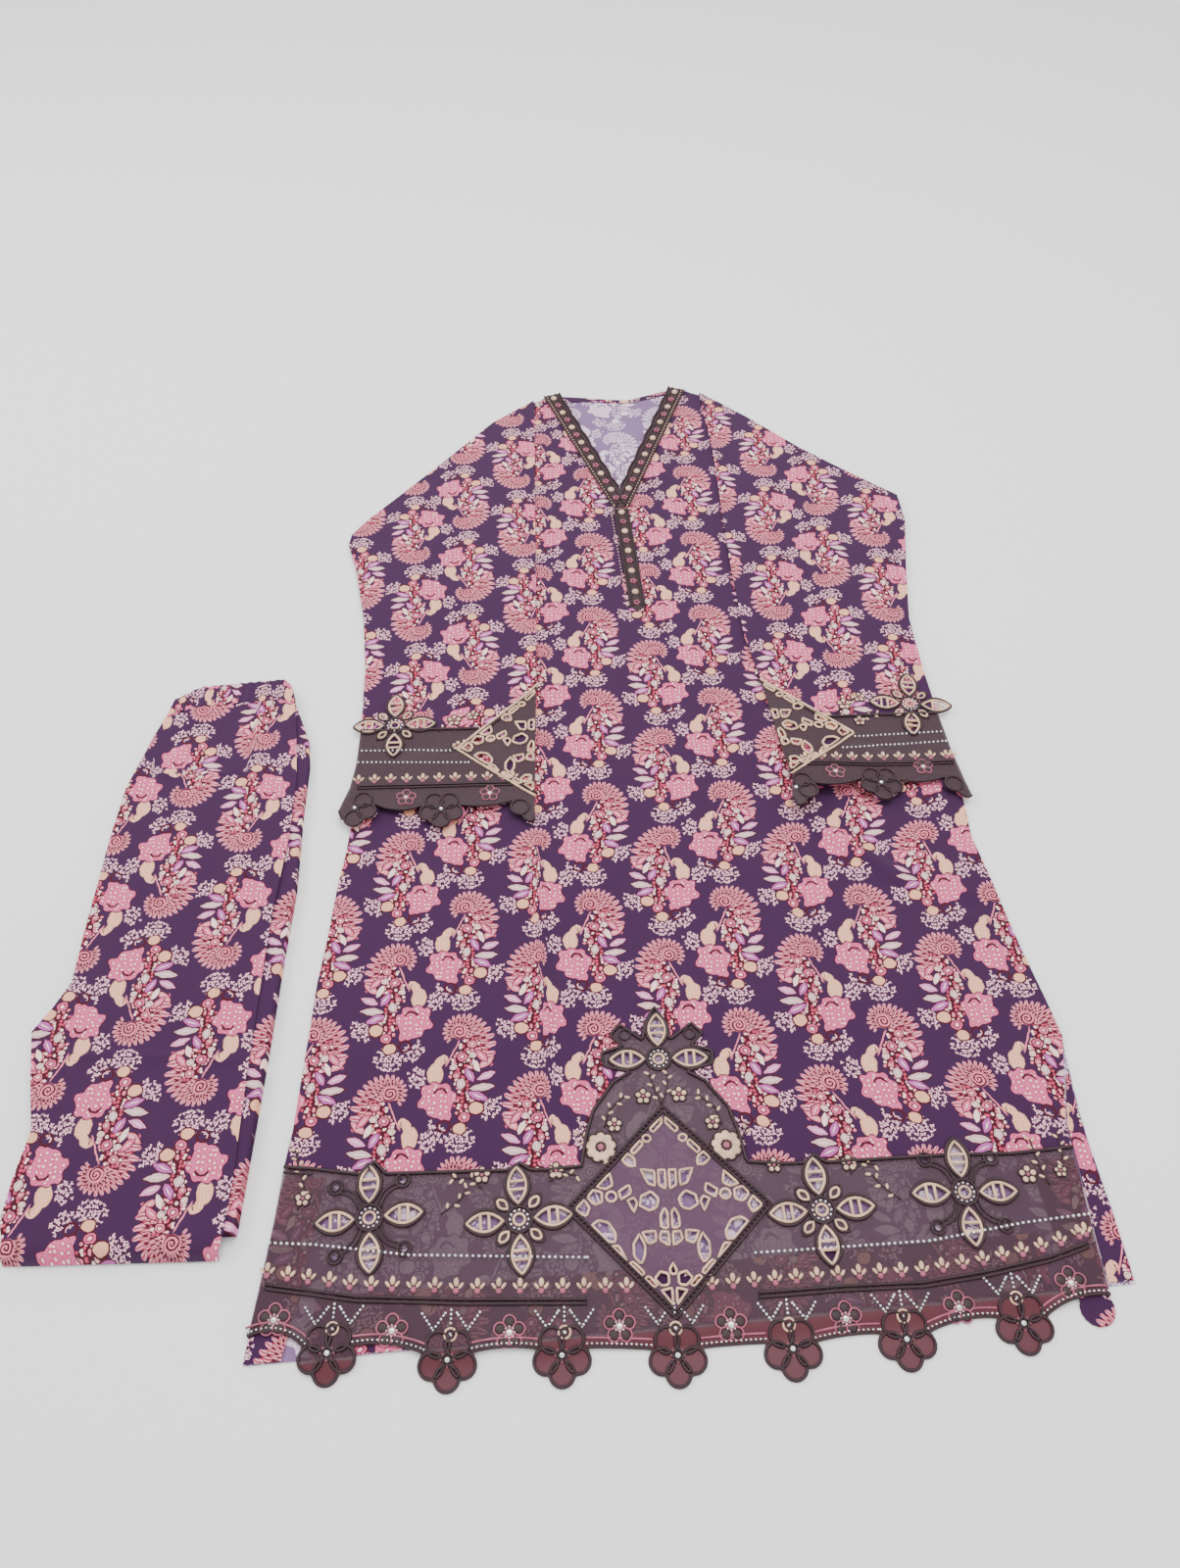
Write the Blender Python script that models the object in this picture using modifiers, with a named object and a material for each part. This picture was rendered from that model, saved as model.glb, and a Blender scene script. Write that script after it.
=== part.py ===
# Kurta set laid flat: a long kurta with a cutwork border, and its folded trousers.
# The kurta lies on its back with the sleeves folded down over it, the trousers lie at its left.
# +X runs to the right, +Y to the shoulders, +Z up, and everything rests on z = 0.

import math

import bmesh
import bpy
from mathutils import Vector

# Tables and constants are in millimetres, and MM turns them into metres.
MM = 0.001

# Cloth
WALL = 1.0
GAP = 0.3
LAYER = WALL + GAP

# The kurta's own point (0, 0) is the lower tip of the diamond, and this point of it is the origin
CENTRE = (-84.5, 525.0)

# Hem of the back panel, and the length that is turned up inside it
HEM_LEFT = (-295.0, -23.0)
HEM_RIGHT = (328.0, 14.0)
HEM_TURN = 40.0
# The layers over the hem drop to the floor just past it
DROP_START = 2.0
DROP_END = 14.0
# From here to the right edge the border lies over the tab of the slit facing
TAB_START = 264.0
TAB_END = 273.0

# The printed front rises by one layer above the border's seam
FRONT_RISE_TOP = 280.0
FRONT_RISE_FOOT = 240.0

# Half outlines of the body below the sleeves: y, x of the left edge, x of the right edge
BODY_SIDES = (
    (820, -300, 316),
    (766, -288, 303),
    (691, -273, 290),
    (620, -265, 289),
    (555, -262, 291),
    (494, -262, 296),
    (440, -264, 299),
    (399, -266, 297),
    (361, -270, 303),
    (312, -273, 309),
    (266, -277, 316),
    (222, -278, 323),
    (201, -279, 326),
    (140, -281, 323),
    (103, -284, 324),
    (67, -287, 326),
    (34, -290, 327),
)
# Edge of the front on its right, from the top of the slit to the border: x, y
SLIT_RIGHT = ((326, 201), (309, 130), (309, 112))
# The diagonal along which each sleeve is folded down: x, y from the neck outwards
FOLD_LEFT = ((-100, 1068), (-149, 1025), (-219, 933), (-286, 847), (-302, 822))
FOLD_RIGHT = ((107, 1080), (159, 1029), (214, 968), (267, 920), (317, 874))
# Back of the neck, from the right neck point to the left one
NECK_BACK = ((90, 1091), (79, 1095), (16, 1070), (-12, 1073), (-40, 1077), (-84, 1083))
# V of the front: left neck point, bottom, right neck point
NECK_V = ((-76, 1080), (-1, 884), (76, 1092))

# Folds that stand up from the front: start, end, half width, height, length of each end's fade
FRONT_FOLDS = (
    # x0, y0, x1, y1, half width, height, fade
    (-97, 430, -86, 170, 8, 5.0, 45),
    (100, 660, 99, 440, 13, 3.0, 60),
    (110, 425, 121, 190, 26, 4.5, 70),
    (144, 430, 245, 336, 13, 5.0, 40),
)
FRONT_GRID = 62.0

# Seam between the printed front and the border, right half: x, y. The middle rises to a peak.
SEAM_PEAK = (
    (86, 105), (62, 107), (58, 130), (52, 150), (36, 172), (22, 180), (43, 186),
    (44, 197), (27, 202), (37, 212), (29, 221), (11, 207), (8, 222), (0, 236),
)
SEAM_LEFT = ((-284, 112), (-262, 110))
SEAM_RIGHT = ((262, 108), (309, 112))
SEAM_LEVEL = 105.0
SEAM_OVER_ARMS = 28.0
# Where an upper petal passes the seam, the border follows it: half width, and what shows past its tip
SEAM_TAB = 9.0
SEAM_TAB_EDGE = 3.0

# Hanging flowers of the hem: x, y of the centre, and the top of the scallop after each: x, y
HEM_FLOWERS = ((-238, -17), (-156, -23), (-78, -22), (1, -24), (80, -22), (159, -18), (242, -10))
HEM_SCALLOPS = ((-198, -13), (-119, -17), (-39, -19), (40, -19), (119, -15), (202, -7))
PETAL_RADIUS = 9.5
PETAL_REACH = 11.5

# Embroidered flowers with cut petals: x, y, angle of the first petal, with scroll arms or not
CUT_FLOWERS = (
    (-217, 73, 95, True),
    (-108, 69, 94, False),
    (113, 70, 93, False),
    (220, 80, 90, True),
)
PEAK_FLOWER = (1, 191)
PETAL_LENGTH = 27.0
PETAL_WIDTH = 14.0
PETAL_START = 11.5
PETAL_CORD = 2.0
RING_HOLE = 3.2
ARM_REACH = 35.0

# The diamond stands on its tip, with its half width and half height
DIAMOND = (1.5, 75.5)
DIAMOND_HALF = (74.0, 75.5)
# Its windows, right of the axis and mirrored to the left: the corners of each, x and y from its middle
DIAMOND_WINDOWS = {
    "tip_slot": ((1.5, 69.5), (1.5, 65.0), (8.5, 57.5), (11.5, 60.0)),
    "tip_round": ((17.2, 54.0), (14.5, 56.0), (11.3, 54.5), (11.0, 51.0), (14.0, 49.5), (16.8, 51.0)),
    "upper_slot": ((19.5, 51.0), (16.8, 48.5), (24.5, 40.5), (27.3, 43.0)),
    "upper_kite": ((29.5, 41.0), (24.5, 37.5), (24.0, 31.0), (29.5, 31.5), (34.0, 36.0)),
    "trefoil_foot": ((20.0, 28.5), (9.5, 27.0), (9.8, 15.5), (15.0, 17.5)),
    "axis_upper": ((6.6, 27.5), (1.6, 27.5), (1.6, 13.0), (6.6, 16.0)),
    "side_tri": ((44.0, 26.0), (42.0, 17.0), (47.5, 14.0), (54.0, 16.0)),
    "circle_fan": ((57.0, 13.5), (50.5, 12.0), (50.3, 4.5), (56.5, 2.5), (61.5, 8.5)),
    "corner": ((64.0, 6.3), (60.0, 0.5), (62.5, -6.0), (66.5, -4.0), (70.5, -0.5)),
    "tilted": ((37.3, 12.0), (29.5, 17.0), (28.0, 10.5), (36.0, 6.0)),
    "small_kite": ((31.0, 5.0), (26.5, 7.0), (23.8, 3.5), (26.5, -4.0)),
    "cross_kite": ((20.5, 8.0), (13.0, 11.5), (7.5, 5.5), (9.5, -1.0), (15.0, -3.0), (22.0, 1.0)),
    "axis_ladder": ((4.0, -1.5), (1.6, -4.0), (1.6, -16.5), (7.0, -15.5), (6.8, -7.0)),
    "axis_lower": ((7.0, -18.5), (1.6, -19.0), (1.6, -29.0), (8.8, -24.5)),
    "fan_inner": ((21.0, -18.8), (11.5, -17.8), (11.0, -25.0), (17.0, -27.5)),
    "fan_outer": ((23.5, -20.0), (19.5, -28.0), (20.0, -35.0), (23.0, -41.5), (28.0, -36.0),
                  (28.0, -27.0)),
    "oval": ((58.5, -12.5), (53.5, -9.0), (46.0, -11.0), (41.0, -19.0), (41.5, -25.0), (46.0, -25.5)),
    "below_oval": ((44.5, -28.0), (39.0, -28.0), (33.5, -38.7)),
    "lower_slot": ((31.5, -40.6), (29.0, -39.5), (20.8, -47.5), (23.0, -49.5)),
    "foot_slot": ((20.8, -51.8), (18.2, -49.6), (12.0, -56.2), (14.6, -58.0)),
    "foot_kite": ((9.5, -47.0), (3.6, -48.5), (3.6, -56.0), (9.0, -57.0), (14.0, -52.0)),
    "foot_tri": ((9.3, -60.0), (1.6, -58.5), (1.6, -70.0)),
}
DIAMOND_CIRCLE = (43.3, 8.3, 4.0)
# Share of the corners' distances, which leaves the frame its width
DIAMOND_FIT = 0.97
DIAMOND_TEAR = ((0.0, -40.0), (-2.5, -44.5), (-1.8, -47.5), (1.8, -47.5), (2.5, -44.5))

# Sleeves. Outer edge from the corner of the fold to the hem, inner edge from the hem to the neck.
SLEEVE_LEFT = {
    "outer": ((-304, 806), (-292, 766), (-277, 691), (-269, 620), (-266, 555), (-265.5, 534)),
    "cuff": ((-266, 494), (-269, 465), (-277, 437)),
    "inner": ((-96, 592), (-98, 730), (-99, 894), (-100, 1068)),
    "fold": FOLD_LEFT,
    "seam_y": 534,
    "half_diamond": ((-96.5, 590), (-173, 510), (-97.5, 449)),
    "hem_end": (-97.5, 424),
    "flowers": ((-262, 441), (-183, 438), (-100, 442)),
    "scallops": ((-223, 437), (-140, 440)),
    "cut_flower": (-233, 541, 92),
}
SLEEVE_RIGHT = {
    "outer": ((318, 831), (304, 750), (293, 676), (293, 606), (296, 545)),
    "cuff": ((299, 500), (303, 460), (306, 440)),
    "inner": ((128, 595), (118, 652), (114, 763), (113, 946), (107, 1075)),
    "fold": FOLD_RIGHT,
    "seam_y": 543,
    "half_diamond": ((128, 594), (211, 521), (142, 466)),
    "hem_end": (138, 438),
    "flowers": ((143, 449), (224, 457), (303, 459)),
    "scallops": ((184, 452), (264, 458)),
    "cut_flower": (271, 556, 84),
}
# The hem of each sleeve lifts a little from the body, most where the photo shows it hollow
HEM_LIFT_TOP = 500.0
HEM_LIFT_LENGTH = 60.0
HEM_LIFT = 2.5
HOLLOW = (165, 440, 45, 6.0)
# The hidden half of a sleeve stays this far inside the half that shows
HIDDEN_INSET = 1.5
SLEEVE_CUTS_Y = (430, 444, 458, 472, 486, 505, 530, 640, 760, 880)
SLEEVE_CUTS_X = (122, 140, 158, 176, 194, 212, 232, 255)

# Trim of the neck: half widths outside and inside its bead line, and its beads
TRIM_OUT = 10.0
TRIM_IN = 8.5
TRIM_SCALLOP = 1.6
BEAD_RADIUS = 4.3
BEAD_RISE = 2.4
BEADS_ON_V = 6
TRIM_LEFT = ((-78, 1081), (-1, 868))
TRIM_RIGHT = ((79, 1091), (0, 868))
PLACKET = ((-0.5, 861), (10.5, 698))
PLACKET_HALF = 8.5
BEADS_ON_PLACKET = 5

# Trousers, folded in half lengthwise with the lower legs folded under
STACK_TOP = 8.0
STACK_SLOPE = 0.008
STACK_TOP_Y = 577.0
LEG_OUTLINE_LEFT = (
    (-476, 62), (-481, 74), (-480, 105), (-476, 142), (-487, 182), (-497, 223), (-485, 245),
    (-476, 267), (-477, 313), (-477, 414), (-475, 469), (-462, 528), (-455, 556),
)
LEG_OUTLINE_RIGHT = (
    (-331, 570), (-325, 555), (-313, 524), (-309, 494), (-308, 436), (-304, 357), (-306, 285),
    (-307, 198), (-309, 119), (-311, 62),
)
TOP_LAYER_RIGHT = (
    (-332, 568), (-326, 530), (-319, 476), (-317, 408), (-321, 329), (-321, 250), (-320, 165),
    (-318, 97), (-319, 62),
)
LEG_BOTTOM = 46.0
CURL_START = 60.0
CURL_CUTS = (60, 56.5, 53, 50, 47.8, 46.6)
BAND_LOWER = ((-455, 556), (-427, 567), (-345, 575), (-331, 570))
BAND_UPPER = ((-339, 594), (-347, 601), (-427, 593), (-450, 577))
GATHERS = 14
GATHER_HEIGHT = 1.3
TUCK = (-452, 484, -369, 482, 7, 2.0, 12)
# Side of the folded stack, from the floor up: share of its height, inset of the edge
STACK_EDGE = ((0.0, 3.0), (0.1, 0.8), (0.22, 2.4), (0.34, 0.6), (0.47, 2.4), (0.6, 0.6),
              (0.73, 2.4), (0.86, 0.7), (1.0, 2.2))

# Colours: linear red, green, blue, and roughness
PRINT_PURPLE = (0.13, 0.045, 0.14, 0.85)
PRINT_PINK = (0.45, 0.17, 0.27, 0.85)
INSIDE_LILAC = (0.36, 0.25, 0.42, 0.85)
ORGANZA_WINE = (0.10, 0.015, 0.04, 0.5)
CUTWORK_LILAC = (0.25, 0.10, 0.26, 0.55)
TRIM_DARK = (0.20, 0.08, 0.12, 0.6)


def smooth(share):
    share = min(max(share, 0.0), 1.0)
    return share * share * (3.0 - 2.0 * share)


def hem_y(x):
    slope = (HEM_RIGHT[1] - HEM_LEFT[1]) / (HEM_RIGHT[0] - HEM_LEFT[0])
    return HEM_LEFT[1] + slope * (x - HEM_LEFT[0])


def fold_height(x, y, fold):
    x0, y0, x1, y1, half_width, height, fade = fold
    start = Vector((x0, y0))
    along = Vector((x1, y1)) - start
    length = along.length
    along /= length
    offset = Vector((x, y)) - start
    run = offset.dot(along)
    aside = abs(offset.cross(along))
    if aside >= half_width or run <= 0.0 or run >= length:
        return 0.0
    ends = smooth(run / fade) * smooth((length - run) / fade)
    return height * ends * (1.0 - (aside / half_width) ** 2) ** 2


# Heights of the underside of each layer

def hem_share(x, y):
    share = (y - (hem_y(x) - DROP_END)) / (DROP_END - DROP_START)
    return min(max(share, 0.0), 1.0)


def over_back(level):
    return lambda x, y: level * hem_share(x, y)


def border_height(x, y):
    # the border stays up where the tab of the right facing is under it
    over_tab = (x - TAB_START) / (TAB_END - TAB_START)
    return 2.0 * LAYER * max(hem_share(x, y), min(max(over_tab, 0.0), 1.0))


def front_height(x, y):
    rise = (FRONT_RISE_TOP - y) / (FRONT_RISE_TOP - FRONT_RISE_FOOT)
    folds = sum(fold_height(x, y, fold) for fold in FRONT_FOLDS)
    return LAYER * (1.0 + min(max(rise, 0.0), 1.0)) + folds


def sleeve_height(level, share, hollow):
    def height(x, y):
        lift = HEM_LIFT * smooth((HEM_LIFT_TOP - y) / HEM_LIFT_LENGTH)
        if hollow:
            away = math.hypot(x - HOLLOW[0], y - HOLLOW[1]) / (2.0 * HOLLOW[2])
            lift += HOLLOW[3] * smooth(1.0 - away)
        return level + share * lift
    return height


def stack_height(y):
    return STACK_TOP + STACK_SLOPE * (STACK_TOP_Y - y)


def leg_height(x, y):
    top = stack_height(y) + GAP
    if y < CURL_START:
        share = (CURL_START - y) / (CURL_START - LEG_BOTTOM)
        return WALL + (top - WALL) * math.sqrt(max(1.0 - share * share, 0.0))
    return top + fold_height(x, y, TUCK)


def band_height(x, y):
    share = (x - BAND_LOWER[0][0]) / (BAND_LOWER[-1][0] - BAND_LOWER[0][0])
    return stack_height(y) + GAP + GATHER_HEIGHT * math.sin(math.pi * GATHERS * share) ** 2


# Outlines

def arc(start, top, end, steps):
    # points of a circular arc through three points, without its two ends
    (ax, ay), (bx, by), (cx, cy) = start, top, end
    d = 2.0 * (ax * (by - cy) + bx * (cy - ay) + cx * (ay - by))
    a2, b2, c2 = ax * ax + ay * ay, bx * bx + by * by, cx * cx + cy * cy
    ux = (a2 * (by - cy) + b2 * (cy - ay) + c2 * (ay - by)) / d
    uy = (a2 * (cx - bx) + b2 * (ax - cx) + c2 * (bx - ax)) / d
    radius = math.hypot(ax - ux, ay - uy)
    first = math.atan2(ay - uy, ax - ux)
    last = math.atan2(cy - uy, cx - ux)
    turn = (last - first) % math.tau
    middle = (math.atan2(by - uy, bx - ux) - first) % math.tau
    if middle > turn:
        turn -= math.tau
    angles = [first + turn * (i + 1) / (steps + 1) for i in range(steps)]
    return [(ux + radius * math.cos(a), uy + radius * math.sin(a)) for a in angles]


def flower_edge(centre, steps=20):
    # lower edge of a five-petal flower, from its left petal round to its right one
    points = []
    for i in range(steps + 1):
        angle = math.radians(-192.0 + 204.0 * i / steps)
        nearest = round((angle + math.pi / 2) / (math.tau / 5)) * math.tau / 5 - math.pi / 2
        off = angle - nearest
        root = max(PETAL_RADIUS ** 2 - (PETAL_REACH * math.sin(off)) ** 2, 0.0)
        reach = PETAL_REACH * math.cos(off) + math.sqrt(root)
        points.append((centre[0] + reach * math.cos(angle), centre[1] + reach * math.sin(angle)))
    return points


def scalloped_edge(flowers, scallops, start, end):
    # hem from left to right: flowers with concave scallops between them
    edges = [[p for p in flower_edge(f) if start[0] + 2 < p[0] < end[0] - 2] for f in flowers]
    points = [start]
    for i, edge in enumerate(edges):
        points += edge
        if i < len(scallops):
            points += arc(edge[-1], scallops[i], edges[i + 1][0], 5)
    return points + [end]


def moved_out(line, distance):
    # the line moved to its left side by the distance
    points = [Vector(p) for p in line]
    result = []
    for i, point in enumerate(points):
        before = points[max(i - 1, 0)]
        after = points[min(i + 1, len(points) - 1)]
        along = (after - before).normalized()
        result.append((point.x - along.y * distance, point.y + along.x * distance))
    return result


def inset_loop(loop, distance):
    # a closed loop, counterclockwise, drawn in by the distance
    count = len(loop)
    result = []
    for i, point in enumerate(loop):
        before = Vector(point) - Vector(loop[i - 1])
        after = Vector(loop[(i + 1) % count]) - Vector(point)
        along = (before.normalized() + after.normalized()).normalized()
        result.append((point[0] - along.y * distance, point[1] + along.x * distance))
    return result


def turned(x, y, angle, centre):
    c, s = math.cos(angle), math.sin(angle)
    return (centre[0] + x * c - y * s, centre[1] + x * s + y * c)


def petal_windows(centre, angle):
    # three windows of one pointed petal, parted by two cross bars
    half = PETAL_LENGTH / 2.0
    middle = PETAL_START + half

    def half_width(t):
        return PETAL_WIDTH / 2.0 * (1.0 - t * t) - PETAL_CORD

    outlines = []
    for near, far in ((0.74, 0.30), (-0.74, -0.30)):
        wide = half_width(far)
        slim = half_width((near + far) / 2.0)
        outlines.append([(near, 0.4), ((near + far) / 2, slim), (far, wide),
                         (far, -wide), ((near + far) / 2, -slim), (near, -0.4)])
    side = half_width(0.16)
    outlines.append([(0.16, side), (0.0, half_width(0.0)), (-0.16, side),
                     (-0.16, -side), (0.0, -half_width(0.0)), (0.16, -side)])
    return [[turned(middle + t * half, w, angle, centre) for t, w in outline]
            for outline in outlines]


def round_window(x, y, radius, corners=8):
    return [turned(radius, 0.0, math.tau * i / corners, (x, y)) for i in range(corners)]


def flower_windows(x, y, first, arms, petals=(0, 1, 2, 3)):
    windows = [round_window(x, y, RING_HOLE)]
    for i in petals:
        windows += petal_windows((x, y), math.radians(first + 90.0 * i))
    if arms:
        for i in range(4):
            spot = turned(ARM_REACH, 0.0, math.radians(first + 45.0 + 90.0 * i), (x, y))
            windows.append(round_window(*spot, 2.4, 6))
    return windows


def diamond_windows(centre, corner, tip):
    # windows of the half diamond with this middle, side corner and upper tip
    middle = Vector(centre)
    across = (Vector(corner) - middle) * DIAMOND_FIT / DIAMOND_HALF[0]
    up = (Vector(tip) - middle) * DIAMOND_FIT / DIAMOND_HALF[1]
    x, y, radius = DIAMOND_CIRCLE
    shapes = [*DIAMOND_WINDOWS.values(), round_window(x, y, radius)]
    return [[tuple(middle + across * u + up * v) for u, v in shape] for shape in shapes]


# Sheets of cloth

def filled(name, outline, holes):
    curve = bpy.data.curves.new(name, "CURVE")
    curve.dimensions = "2D"
    curve.fill_mode = "BOTH"
    for loop in (outline, *holes):
        spline = curve.splines.new("POLY")
        spline.points.add(len(loop) - 1)
        for point, (x, y) in zip(spline.points, loop):
            point.co = (x * MM, y * MM, 0.0, 1.0)
        spline.use_cyclic_u = True
    helper = bpy.data.objects.new(name + "_outline", curve)
    bpy.context.scene.collection.objects.link(helper)
    evaluated = helper.evaluated_get(bpy.context.evaluated_depsgraph_get())
    mesh = bpy.data.meshes.new_from_object(evaluated)
    bpy.data.objects.remove(helper)
    return mesh


def sheet(name, outline, height, colour, holes=(), cuts=(), wall=WALL):
    # cuts: x, y of a point and the direction of a line along which the sheet can bend
    mesh = filled(name, outline, holes)
    bm = bmesh.new()
    bm.from_mesh(mesh)
    bmesh.ops.remove_doubles(bm, verts=bm.verts, dist=0.02 * MM)
    bmesh.ops.dissolve_limit(bm, angle_limit=0.01, verts=bm.verts, edges=bm.edges)
    for x, y, direction in cuts:
        angle = math.radians(direction)
        geometry = bm.verts[:] + bm.edges[:] + bm.faces[:]
        bmesh.ops.bisect_plane(bm, geom=geometry, dist=0.01 * MM, plane_co=(x * MM, y * MM, 0.0),
                               plane_no=(-math.sin(angle), math.cos(angle), 0.0))
    bmesh.ops.triangulate(bm, faces=bm.faces)
    bmesh.ops.recalc_face_normals(bm, faces=bm.faces)
    if sum(face.normal.z * face.calc_area() for face in bm.faces) < 0.0:
        bmesh.ops.reverse_faces(bm, faces=bm.faces)
    for vert in bm.verts:
        x, y = vert.co.x / MM, vert.co.y / MM
        vert.co = ((x - CENTRE[0]) * MM, (y - CENTRE[1]) * MM, height(x, y) * MM)
    bm.to_mesh(mesh)
    bm.free()
    piece = bpy.data.objects.new(name, mesh)
    collection.objects.link(piece)
    solid = piece.modifiers.new("wall", "SOLIDIFY")
    solid.thickness = wall * MM
    solid.offset = 1.0
    paint(piece, colour)
    return piece


def paint(piece, colour):
    material = bpy.data.materials.new(piece.name)
    material.use_nodes = True
    shader = material.node_tree.nodes["Principled BSDF"]
    shader.inputs["Base Color"].default_value = (*colour[:3], 1.0)
    shader.inputs["Roughness"].default_value = colour[3]
    shader.inputs["Metallic"].default_value = 0.0
    piece.data.materials.clear()
    piece.data.materials.append(material)


def grid_cuts(x0, x1, y0, y1, pitch):
    cuts = []
    for i in range(1, round((x1 - x0) / pitch)):
        cuts.append((x0 + pitch * i, 0.0, 90.0))
    for i in range(1, round((y1 - y0) / pitch)):
        cuts.append((0.0, y0 + pitch * i, 0.0))
    return cuts


# Lines that several pieces share

def body_left(low):
    return [(left, y) for y, left, right in BODY_SIDES if y >= low]


def body_right(low):
    return [(right, y) for y, left, right in BODY_SIDES if y >= low]


def seam_line():
    # seam of the front and the border, from left to right
    tabs = []
    for x, y, first, arms in CUT_FLOWERS:
        tip = y + PETAL_START + PETAL_LENGTH + SEAM_TAB_EDGE
        level = max(SEAM_LEVEL, y + SEAM_OVER_ARMS)
        tabs.append([(x - SEAM_TAB, level), (x - 0.7 * SEAM_TAB, max(tip - 6.0, level + 1.0)),
                     (x, tip), (x + 0.7 * SEAM_TAB, max(tip - 6.0, level + 1.0)),
                     (x + SEAM_TAB, level)])
    left_peak = [(-x, y) for x, y in SEAM_PEAK]
    right_peak = list(reversed(SEAM_PEAK))[1:]
    return [*SEAM_LEFT, *tabs[0], *tabs[1], *left_peak, *right_peak, *tabs[2], *tabs[3],
            *SEAM_RIGHT]


def hem_direction():
    run = Vector(HEM_RIGHT) - Vector(HEM_LEFT)
    return math.degrees(math.atan2(run.y, run.x))


def hem_cuts():
    return [(0.0, hem_y(0.0) - drop, hem_direction()) for drop in (DROP_START, DROP_END)]


def diamond_outline(grow):
    x, y = DIAMOND
    half_x, half_y = DIAMOND_HALF[0] + grow, DIAMOND_HALF[1] + grow
    return [(x, y + half_y), (x - half_x, y), (x, y - half_y), (x + half_x, y)]


# Pieces of the kurta

def build_back():
    right = list(reversed(body_right(30)))
    upper_right = moved_out(FOLD_RIGHT, -2.5)
    upper_left = moved_out(FOLD_LEFT, 2.5)
    outline = [HEM_LEFT, HEM_RIGHT, *right, *reversed(upper_right), *NECK_BACK, *upper_left,
               *body_left(30)]
    sheet("kurta_back", outline, lambda x, y: 0.0, INSIDE_LILAC)

    ends = (-250.0, 268.0)
    turned_up = [(ends[0], hem_y(ends[0]) + 0.6), (ends[1], hem_y(ends[1]) + 0.6),
                 (ends[1], hem_y(ends[1]) + HEM_TURN), (ends[0], hem_y(ends[0]) + HEM_TURN)]
    sheet("back_hem_turn", turned_up, over_back(LAYER), PRINT_PINK)

    band = [(-66, 1066), (-40, 1069), (-12, 1067), (16, 1064), (70, 1082), (72, 1091),
            (16, 1069.5), (-12, 1072.5), (-40, 1076.5), (-73, 1080)]
    sheet("back_neck_band", band, over_back(LAYER), PRINT_PURPLE)

    strip = [(308.5, 15), (326.5, 16), (325.5, 67), (322.7, 106), (321.7, 144), (323.3, 172),
             (320.3, 170), (310.5, 129), (310.5, 89), (308.5, 46)]
    sheet("back_slit_facing", strip, over_back(LAYER), PRINT_PINK)


def build_front():
    seam = seam_line()
    outline = [*seam, *reversed(SLIT_RIGHT), *reversed(body_right(210)),
               *reversed(moved_out(FOLD_RIGHT, -2.0)), *reversed(NECK_V),
               *moved_out(FOLD_LEFT, 2.0), *body_left(120)]
    cuts = grid_cuts(-300.0, 320.0, 105.0, 1100.0, FRONT_GRID)
    cuts += [(0.0, FRONT_RISE_TOP, 0.0), (0.0, FRONT_RISE_FOOT, 0.0)]
    for x0, y0, x1, y1, half_width, height, fade in FRONT_FOLDS:
        direction = math.degrees(math.atan2(y1 - y0, x1 - x0))
        side = Vector((y0 - y1, x1 - x0)).normalized()
        for share in (-1.0, -0.4, 0.0, 0.4, 1.0):
            shift = side * half_width * share
            cuts.append((x0 + shift.x, y0 + shift.y, direction))
    sheet("kurta_front", outline, front_height, PRINT_PURPLE, cuts=cuts)


def build_slit_facings():
    left = [(-294.5, -22.4), (-269, -21.0), (-262, 20), (-252, 104), (-283, 104), (-286, 67),
            (-289, 34), (-293, 1)]
    sheet("slit_facing_left", left, over_back(LAYER), PRINT_PINK, cuts=hem_cuts())
    tab = arc((285, 4), (296, -14), (307, 4), 6)
    right = [(280, 40), (285, 4), *tab, (307, 4), (307, 46), (308.5, 89), (308.5, 104), (274, 104)]
    sheet("slit_facing_right", right, over_back(LAYER), PRINT_PINK, cuts=hem_cuts())


def build_border():
    edge = scalloped_edge(HEM_FLOWERS, HEM_SCALLOPS, (-293.5, -6.0), (306.5, 6.0))
    left_end = arc(edge[0], (-277, -3), edge[1], 3)
    right_end = arc(edge[-2], (278, 3), edge[-1], 3)
    lower = [edge[0], *left_end, *edge[1:-1], *right_end, edge[-1]]
    seam = moved_out(list(reversed(seam_line())), GAP)
    outline = [*lower, (306.8, 46), (308.7, 89), *seam, (-286.5, 67), (-289.5, 34)]
    windows = [diamond_outline(GAP)]
    for x, y, first, arms in CUT_FLOWERS:
        windows += flower_windows(x, y, first, arms)
    windows += flower_windows(*PEAK_FLOWER, 90.0, False, petals=(0, 1, 3))
    cuts = [*hem_cuts(), (TAB_START, 0.0, 90.0), (TAB_END, 0.0, 90.0)]
    sheet("front_border", outline, border_height, ORGANZA_WINE, windows, cuts)

    tear = [(DIAMOND[0] + x, DIAMOND[1] + y) for x, y in DIAMOND_TEAR]
    tip, left, foot, right = diamond_outline(0.0)
    holes = [tear, *diamond_windows(DIAMOND, left, tip), *diamond_windows(DIAMOND, right, tip)]
    sheet("front_diamond", diamond_outline(0.0), over_back(2.0 * LAYER), CUTWORK_LILAC, holes)


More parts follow.
